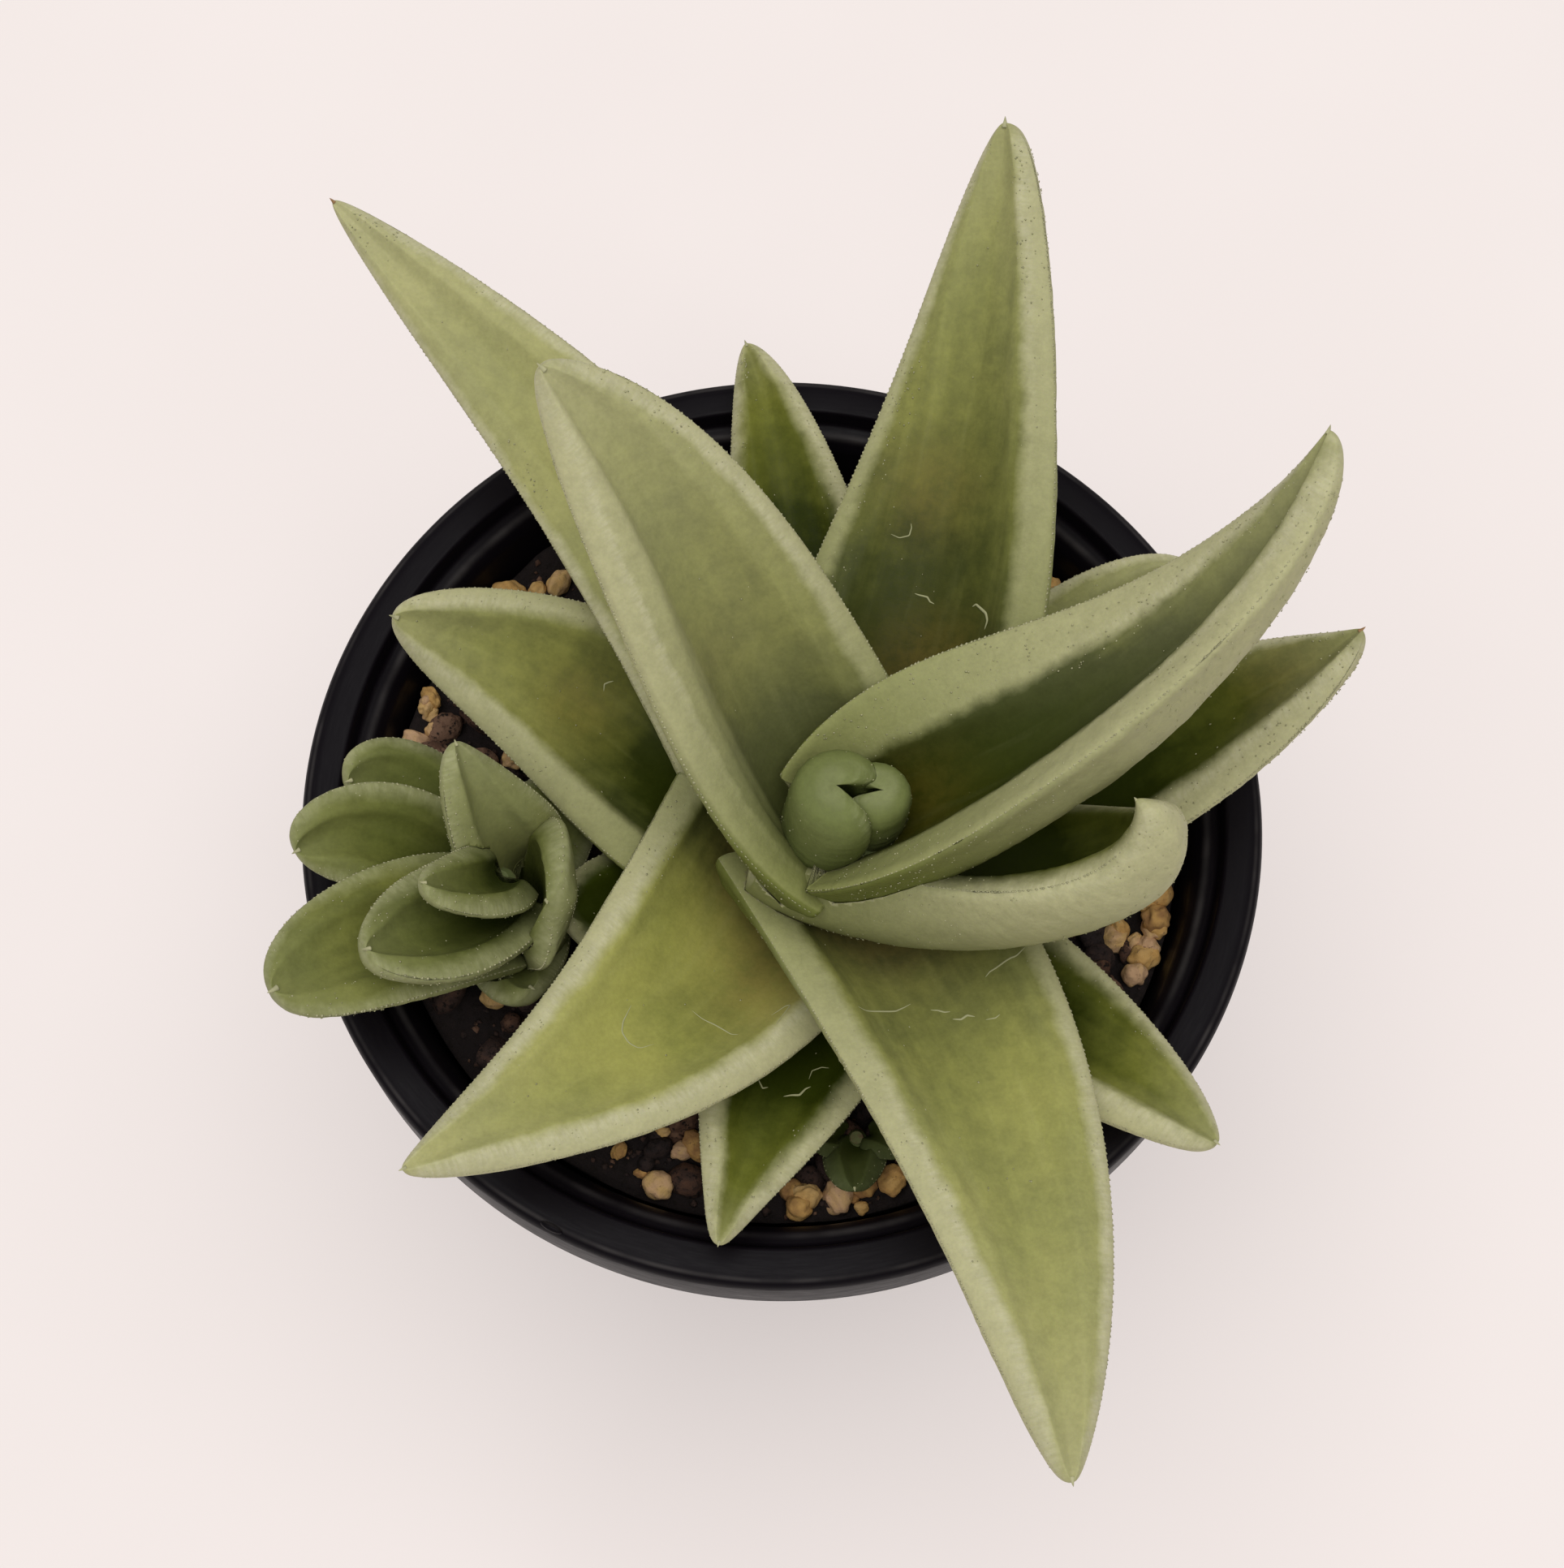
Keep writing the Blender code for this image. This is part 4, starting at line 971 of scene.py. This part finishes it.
def skin_frames(leaf, t, across, under):
    """Points on a leaf's smooth skin with their outward normals and lengthwise directions."""
    here = leaf_point(leaf, t, across, under)
    ahead = unit(leaf_point(leaf, t + STEP, across, under) - leaf_point(leaf, t - STEP, across, under))
    beside = leaf_point(leaf, t, across + STEP, under) - leaf_point(leaf, t, across - STEP, under)
    out = np.cross(ahead, beside) * np.where(under, -1.0, 1.0)[:, None]
    return here, unit(out), ahead


def on_skin(blade, places, tolerance=0.3):
    """True for the places in mm that lie on what the cuts have left of a blade."""
    found = [blade.closest_point_on_mesh(Vector(place * MM)) for place in places]
    off = [(Vector(place * MM) - hit[1]).length for place, hit in zip(places, found)]
    return np.array(off) < tolerance * MM


print("outward in the middle of leaf_8's face:", skin_frames(LEAVES["leaf_8"], *MIDDLE)[1][0].round(2))

# %% Teeth, pimples and tips
LAST_TOOTH, FULL_TEETH_FROM, INNER = 0.985, 0.3, 0.9
CONE_SUNK, CONE_BEND, CONE_POWER = 0.45, 0.12, 0.8


def edge_teeth(source, leaf):
    """Places, directions and sizes of the teeth along both edges of a leaf."""
    count = int(along_mm(leaf, 1.0) / TOOTH_PITCH)
    t = np.tile((np.arange(count) + source.uniform(0.2, 0.8, count)) / count, 2) * LAST_TOOTH
    side = np.repeat([-1.0, 1.0], count)
    edge, inner = (leaf_point(leaf, t, side * share, t < 0) for share in (EDGE, INNER))
    ahead = unit(leaf_point(leaf, t + STEP, side * EDGE, t < 0) - edge)
    size = np.minimum(leaf_widths(leaf, t)[0] / 4, 1)
    height = TOOTH_HEIGHT * source.uniform(0.4, 1.0, len(t)) * size * np.clip(t / FULL_TEETH_FROM, 0.3, 1)
    return edge, unit(edge - inner), ahead, np.column_stack([height, TOOTH_LENGTH * size, TOOTH_BREADTH * size])


def pimples(source, leaf):
    """Places, directions and sizes of the pimples on a leaf: many on the lips and below, few inside."""
    area = along_mm(leaf, 1.0) * np.mean(leaf["half"]) * 4 / 100
    count = int(area * PIMPLES_A_SQUARE_CM)
    t, across = source.uniform(0.05, 0.97, count), source.uniform(-0.985, 0.985, count)
    under = source.uniform(size=count) < 0.5
    rim = rim_distance(leaf, t, across, under)
    kept = source.uniform(size=count) < np.where(rim > -0.3, 1.0, 0.04)
    size = source.uniform(*PIMPLE_SIZES, kept.sum())
    return *skin_frames(leaf, t[kept], across[kept], under[kept]), np.column_stack([0.8 * size, 1.3 * size, size])


def tip_point(leaf, rows=10, columns=10):
    """A small cone in line with the midrib's end, closed at its sunk base: radius r (1 - s)^0.8."""
    ends = through(leaf["rib"], np.array([0.975, 1.0]))
    ahead = unit(ends[1] - ends[0])
    _, face, left = [part[0] for part in leaf_frame(leaf, np.array([0.99]))]
    width = float(leaf_widths(leaf, np.array([0.97]))[0][0])
    thick, length = 0.1 * width + 0.1, 0.3 + 0.4 * min(width, 2.2)
    s = np.linspace(0, 1, rows)[:-1, None]
    a = np.linspace(0, 2 * math.pi, columns, endpoint=False)[None]
    ring = thick * (1 - s) ** CONE_POWER
    lift = (s - CONE_SUNK) * length
    points = (ends[1] + lift[..., None] * ahead + CONE_BEND * length * (s ** 2)[..., None] * face
              + (ring * np.cos(a))[..., None] * left - (ring * np.sin(a))[..., None] * face)
    last = ends[1] + (1 - CONE_SUNK) * length * ahead + CONE_BEND * length * face
    return np.vstack([points.reshape(-1, 3), points[0].mean(axis=0), last]), tube_faces(rows - 1, columns)


print("points of a leaf's tip cone:", len(tip_point(LEAVES["leaf_8"])[0]))

# %% [markdown]
# All growths of a kind of leaf are joined into one piece. A growth whose place was cut away with its
# leaf's skin is left out. tip tells the finish where the skin is dry and brown.

# %% Growths
KINDS = {"leaf": "leaf_", "bud_leaf": "bud_", "offset_leaf": "offset_", "sprout_leaf": "sprout_"}
DRY_TIPS = ("leaf_1", "leaf_5")


def growths(kind, prefix):
    """One mesh of all teeth, pimples and tip points on the leaves whose names start with the prefix."""
    parts, dry = [], []
    for index, (name, leaf) in enumerate(LEAVES.items()):
        if not name.startswith(prefix):
            continue
        source = np.random.default_rng(900 + index)
        for found in (edge_teeth(source, leaf), pimples(source, leaf)):
            kept = on_skin(blades[name], found[0])
            parts.append(double_pyramids(*[each[kept] for each in found]))
            dry.append(0.0)
        if not name.startswith("bud_"):
            parts.append(tip_point(leaf))
            dry.append(float(name in DRY_TIPS))
    tips = np.repeat(dry, [len(points) for points, _ in parts])
    return mesh_piece(kind + "_growths", *joined(parts), {"tip": tips})


growth_pieces = {kind: growths(kind, prefix) for kind, prefix in KINDS.items()}
print("growth faces:", {kind: len(piece.data.polygons) for kind, piece in growth_pieces.items()})

# %% [markdown]
# ## Scars and lint
#
# Pale healed scratches and a few stray fibres lie on the faces. Each is a thin tube along a path on the
# skin. The path joins listed places on a leaf, smoothed by a running mean, and the tube's radius goes as
# sin(pi s)^0.5 along it, so that it is drawn out at both ends. It lies half sunk in the skin.

# %% Scars and lint
# The leaf, the radius in mm, and places as (t, across).
STRANDS = [
    ("leaf_8", 0.10, [(.269, .49), (.265, .55), (.266, .67), (.268, .8), (.261, .9)]),
    ("leaf_8", 0.09, [(.261, -.73), (.265, -.63), (.266, -.47), (.268, -.32), (.264, -.22), (.259, -.12)]),
    ("leaf_8", 0.09, [(.276, -.03), (.281, .03), (.287, .07), (.290, .12)]),
    ("leaf_8", 0.12, [(.300, .09), (.306, .16), (.304, .22), (.311, .28)]),
    ("leaf_8", 0.07, [(.32, .33), (.324, .42), (.322, .47)]),
    ("leaf_3", 0.10, [(.28, .16), (.279, .11), (.279, .04), (.273, .01), (.271, -.04)]),
    ("leaf_3", 0.15, [(.279, -.37), (.285, -.41), (.28, -.47), (.275, -.53), (.265, -.56), (.248, -.54)]),
    ("leaf_3", 0.07, [(.363, .51), (.359, .41), (.366, .33), (.379, .33), (.387, .35)]),
    ("leaf_9", 0.08, [(.43, -.28), (.458, -.23), (.474, -.2), (.489, -.13), (.492, 0), (.486, .12), (.45, .19)]),
    ("leaf_9", 0.07, [(.352, .12), (.352, .26), (.348, .38), (.348, .48), (.349, .57), (.341, .63)]),
    ("leaf_9", 0.06, [(.301, .81), (.286, .8), (.257, .77), (.251, .76), (.255, .73), (.272, .71), (.286, .69)]),
    ("leaf_11", 0.09, [(.463, -.18), (.471, -.26), (.465, -.3), (.457, -.34)]),
    ("leaf_10", 0.12, [(.37, .13), (.355, .24), (.348, .34), (.321, .37), (.307, .43)]),
    ("leaf_10", 0.07, [(.29, .35), (.252, .33), (.234, .42), (.234, .53)]),
    ("leaf_10", 0.09, [(.336, -.27), (.366, -.14), (.352, -.07)]),
]
print("strands:", len(STRANDS))

# %% Strand tubes
STRAND_ROWS, STRAND_COLUMNS, SMOOTHING, STRAND_SUNK = 72, 6, 7, 0.2


def strand_path(name, places):
    """Points along a strand on the leaf's finished skin, and the skin's normals there."""
    leaf, seed = LEAVES[name], 100 + 10 * list(LEAVES).index(name)
    s = np.linspace(0, len(places) - 1, STRAND_ROWS + SMOOTHING - 1)
    t, across = (np.interp(s, np.arange(len(places)), column) for column in np.array(places).T)
    t, across = (np.convolve(row, np.full(SMOOTHING, 1 / SMOOTHING), "valid") for row in (t, across))
    under = np.zeros(t.shape, bool)
    width, down = leaf_widths(leaf, t)[0], along_mm(leaf, t)
    here, out, _ = skin_frames(leaf, t, across, under)
    closing = np.minimum(width, (1 - t) * along_mm(leaf, 1.0))
    rise = relief(seed, across * width, down, rim_distance(leaf, t, across, under), under, closing)
    return here + rise[:, None] * out, out


def strand(name, radius, places):
    """One closed tube along a strand: its row i is a ring of radius r sin(pi s)^0.5."""
    path, out = strand_path(name, places)
    side = unit(np.cross(np.gradient(path, axis=0), out))
    s = np.linspace(0, 1, STRAND_ROWS + 2)[1:-1, None, None]
    a = np.linspace(0, 2 * math.pi, STRAND_COLUMNS, endpoint=False)[None, :, None]
    ring = radius * np.sin(math.pi * s) ** 0.5
    path = path - STRAND_SUNK * radius * out
    points = path[:, None] + ring * (np.cos(a) * side[:, None] + np.sin(a) * out[:, None])
    return np.vstack([points.reshape(-1, 3), path[[0, -1]]]), tube_faces(STRAND_ROWS, STRAND_COLUMNS)


scars = mesh_piece("scars_and_lint", *joined([strand(*row) for row in STRANDS]))
print("strand faces:", len(scars.data.polygons))

# %% [markdown]
# ## Leaf skin
#
# The inner face is olive green, with soft clouds of deeper and yellower green, and faint lines along it.
# The lips and the underside are a pale grey green, because the skin there is thick and full of tiny air
# bubbles. The change lies along the crest, so the finish takes it from the stored distance, with some
# noise to fray the line. Painted shade darkens leaves that lie under others, the hollows and the roots, and
# a painted highlight runs along each crest. Painted light makes the tips and the side past a fold paler.
# A wax film makes it all fairly matt, and a little light passes into the flesh.

# %% Leaf finish
# Of these colours, the brightest is the painted highlight along the crests, and painted shade takes a face towards
# the deep green.
FACE = dict(deep=(0.026, 0.036, 0.002), green=(0.220, 0.238, 0.036), sallow=(0.345, 0.340, 0.070),
            brown=(0.170, 0.110, 0.020), pale=(0.450, 0.435, 0.245), painted_highlight=(0.56, 0.54, 0.37),
            low=(0.185, 0.205, 0.052))
LENGTHWISE, CROSSWISE = (1.0, 0.07, 1.0), (0.25, 1.0, 1.0)


def leaf_finish(name, face, paleness=1.0):
    """A leaf's skin: clouds, lines and bruises on the inner face, and pale lips and underside."""
    skin = Finish(name, Specular_IOR_Level=0.07, Subsurface_Weight=0.1, Subsurface_Scale=0.001,
                  Subsurface_Radius=(0.7, 1.0, 0.3))
    plus, times, ranged, noise, blend = skin.plus, skin.times, skin.ranged, skin.noise, skin.blend
    chart = skin.node("UVMap", uv_map="flat")
    along, beside = [skin.node("Mapping", 0, {"Vector": chart, "Scale": s}) for s in (LENGTHWISE, CROSSWISE)]
    rim, under, root, painted_shade = [skin.stored(key) for key in ("rim", "under", "root", "painted_shade")]
    mottle, grain = noise(1.5, 4.0, 0.62), noise(0.36, 3.0, 0.6)
    lines, ticks = noise(1.6, 3.0, 0.55, along), noise(0.35, 2.0, 0.6, beside)

    # The inner face: how light it is, darkened by the stored painted shade, then yellow clouds, then bruises.
    texture = plus(ranged(mottle, 0.3, 0.7, -0.07, 0.08), ranged(lines, 0.35, 0.68, -0.08, 0.1))
    light = plus(ranged(noise(9.0, 3.0, 0.55), 0.3, 0.68, 0.75, 0.95),
                 times(texture, ranged(painted_shade, 0.2, 0.8, 1.0, 0.3)), times(painted_shade, -0.85))
    inner = blend(light, face["deep"], face["green"])
    yellow = times(skin.stored("sallow"), ranged(noise(12.0), 0.35, 0.62, 0.35, 1.3))
    inner = blend(times(yellow, ranged(light, -0.1, 0.7)), inner, face["sallow"])
    worn = times(skin.stored("bruise"), ranged(mottle, 0.25, 0.6, 0.45, 1.1))
    inner = blend(worn, inner, face["brown"])

    # The pale lips and underside: the low green towards the keel and, as painted shade, near the root.
    # A painted highlight runs along the crest.
    frayed = plus(rim, ranged(noise(3.5), 0.3, 0.7, -0.15, 0.15), ranged(mottle, 0.3, 0.7, -0.1, 0.1))
    below = skin.maths("MAXIMUM", times(under, ranged(rim, 4.0, 10.0, 0.0, 0.8)),
                       times(root, plus(0.62, times(under, 0.3))))
    outer = blend(below, face["pale"], face["low"])
    # Painted shade: near the root, the underside goes towards the deep green.
    outer = blend(times(root, under, 0.3), outer, face["deep"])
    # Painted highlight along the crest, faded where painted shade lies near the root.
    crest = ranged(skin.maths("ABSOLUTE", plus(frayed, -0.55)), 0.0, 0.9, 1.0, 0.0)
    crest = times(crest, plus(1.0, times(under, -1.0)), ranged(ticks, 0.35, 0.65, 0.1, 0.45),
                  ranged(root, 0.0, 0.6, 1.0, 0.1))
    outer = blend(crest, outer, face["painted_highlight"])
    film = times(ranged(frayed, -4.0, -0.4), 0.07)
    # The stored haze, with painted light at the tip and past a fold, pales the face towards the lip colours.
    veil_and_painted_light = plus(skin.stored("haze_and_painted_light"), ranged(lines, 0.5, 0.75, 0.0, 0.06), film)
    colour = blend(times(skin.maths("MAXIMUM", ranged(frayed, -1.1, 0.7), veil_and_painted_light), paleness), inner, outer)
    speckle = plus(ranged(grain, 0.28, 0.72, 0.95, 1.05), ranged(mottle, 0.3, 0.7, -0.05, 0.05))
    pimply = times(plus(grain, ticks), times(ranged(rim, -1.0, 0.5, 0.3, 0.8), 0.6))
    return skin.done(Base_Color=skin.shaded(colour, speckle), Roughness=ranged(grain, 0.3, 0.7, 0.42, 0.6),
                     Normal=skin.bump(plus(pimply, times(mottle, 0.4)), 0.5, 0.10))


young = dict(FACE, deep=(0.040, 0.055, 0.012), green=(0.110, 0.145, 0.028), pale=(0.165, 0.19, 0.065),
             low=(0.10, 0.125, 0.03), painted_highlight=(0.42, 0.44, 0.25))
# Painted shade: the offset and the sprout lie in the shade of the big leaves, so their skins are darker copies of
# it, the sprout's the darkest.
shaded = dict(FACE, deep=(0.028, 0.038, 0.005), green=(0.122, 0.142, 0.026), pale=(0.265, 0.275, 0.125),
              low=(0.12, 0.138, 0.036), painted_highlight=(0.46, 0.46, 0.28))
darkest = dict(shaded, green=(0.045, 0.06, 0.018), pale=(0.08, 0.095, 0.04), low=(0.045, 0.055, 0.018),
               painted_highlight=(0.13, 0.15, 0.07))
SKINS = {"leaf": leaf_finish("leaf_skin", FACE), "bud_leaf": leaf_finish("bud_skin", young, 0.8),
         "offset_leaf": leaf_finish("offset_skin", shaded, 0.85),
         "sprout_leaf": leaf_finish("sprout_skin", darkest, 0.7)}
for name, blade in blades.items():
    kind = next(kind for kind, prefix in KINDS.items() if name.startswith(prefix))
    dress(blade, SKINS[kind], kind, name)
print("nodes of each skin:", {kind: len(skin.node_tree.nodes) for kind, skin in SKINS.items()})

# %% [markdown]
# The teeth and pimples are whitish, and the tip points of old leaves are dry and tan. The scars are a dull
# straw colour, the same all over.

# %% Growth finish
WHITISH, TAN, STRAW = (0.42, 0.41, 0.24), (0.36, 0.21, 0.10), (0.36, 0.36, 0.20, 1.0)


def growth_finish():
    """Whitish teeth and pimples, and tan tip points, made uneven by noise."""
    made = Finish("leaf_teeth", Roughness=0.6, Specular_IOR_Level=0.15)
    colour = made.blend(made.stored("tip"), WHITISH, TAN)
    return made.done(Base_Color=made.shaded(colour, made.ranged(made.noise(0.8), 0.3, 0.7, 0.75, 1.1)))


growth_skin = growth_finish()
for kind, piece in growth_pieces.items():
    dress(piece, growth_skin, kind)
dress(scars, Finish("scar_skin", Base_Color=STRAW, Roughness=0.8, Specular_IOR_Level=0.1).done(), "leaf")
print("growths dressed:", [piece.name for piece in growth_pieces.values()])

# %% [markdown]
# ## Stems
#
# The stems are hidden by the leaves' roots but for a glimpse. The frame's own solids are right as they
# are and only need a finish: a green core, ringed by the brown scars of old leaves.

# %% Stem finish
RINGS_A_METRE = 2600.0


def stem_finish():
    """Green flesh with brown rings around it, by height, broken up by noise."""
    made = Finish("stem_bark", Roughness=0.7, Specular_IOR_Level=0.3)
    wander = made.ranged(made.noise(4.0), 0.0, 1.0, -0.001, 0.001)
    height = made.plus(made.node("SeparateXYZ", 2, {0: made.place}), wander)
    rings = made.maths("SINE", made.times(height, RINGS_A_METRE))
    mottle = made.noise(1.2, 4.0, 0.65)
    bark = made.times(made.ranged(rings, -0.2, 0.8), made.ranged(mottle, 0.3, 0.6))
    return made.done(Base_Color=made.blend(bark, (0.14, 0.17, 0.06), (0.13, 0.075, 0.04)),
                     Normal=made.bump(mottle, 0.6, 0.2))


stem_bark = stem_finish()
for name in ("stem", "offset_stem", "sprout_stem"):
    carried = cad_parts[name]
    carried.data.materials.clear()
    carried.data.materials.append(stem_bark)
    carried.material_slots[0].material = stem_bark
    print(name, "is finished with", stem_bark.name)

# %% [markdown]
# ## Floor and light
#
# The photo has a plain pinkish white ground with hardly a shadow, so the light comes from all around. A pale
# sky does most of it, and one very large soft lamp overhead gives the crests their faint shine. The floor
# is matt paper with very faint clouds, and glows a little, which keeps the shadow round the pot light.

# %% Floor
FLOOR_SIZE = 4.0
GLOW, GLOW_STRENGTH = (1.0, 0.92, 0.90, 1.0), 0.36

half = FLOOR_SIZE / MM / 2
corners = np.array([(-half, -half, 0), (half, -half, 0), (half, half, 0), (-half, half, 0)])
floor = mesh_piece("floor", corners, [np.array([[0, 1, 2, 3]])])
paper = Finish("pale_paper", Roughness=0.9, Specular_IOR_Level=0.1, Emission_Color=GLOW,
               Emission_Strength=GLOW_STRENGTH)
clouds = paper.blend(paper.ranged(paper.noise(60.0), 0.3, 0.7), (0.56, 0.515, 0.503), (0.575, 0.53, 0.518))
floor.data.materials.append(paper.done(Base_Color=clouds))
floor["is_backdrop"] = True
print("the floor is", FLOOR_SIZE, "m across")

# %% Light
WORLD_STRENGTH, WORLD_COLOUR = 0.39, (1.0, 0.985, 0.97, 1.0)
LAMP_POWER, LAMP_SIZE, LAMP_COLOUR, LAMP_PLACE = 20.0, 1.5, (1.0, 0.985, 0.965), (-0.05, -0.12, 1.6)

world = bpy.data.worlds.new("soft_sky")
world.use_nodes = True
sky = world.node_tree.nodes["Background"]
sky.inputs["Color"].default_value = WORLD_COLOUR
sky.inputs["Strength"].default_value = WORLD_STRENGTH
bpy.context.scene.world = world

lamp_data = bpy.data.lights.new("overhead", "AREA")
lamp_data.energy, lamp_data.size, lamp_data.color = LAMP_POWER, LAMP_SIZE, LAMP_COLOUR
looking("overhead", lamp_data, LAMP_PLACE)
bpy.context.scene.view_settings.view_transform = "Standard"
print("lamp stands at", list(LAMP_PLACE), "with", LAMP_POWER, "watts")

# %% [markdown]
# ## The size
#
# The dressed plant is meant to fill the same box as the plain solids, so both boxes are printed side by side.

# %% Sizes and finish
dressed_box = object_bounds()
sizes = {"cad": [list(map(float, corner)) for corner in cad_box],
         "visual": [list(map(float, corner)) for corner in dressed_box]}
for key, (low, high) in sizes.items():
    print(key, "box in mm:", [round((b - a) / MM, 1) for a, b in zip(low, high)])
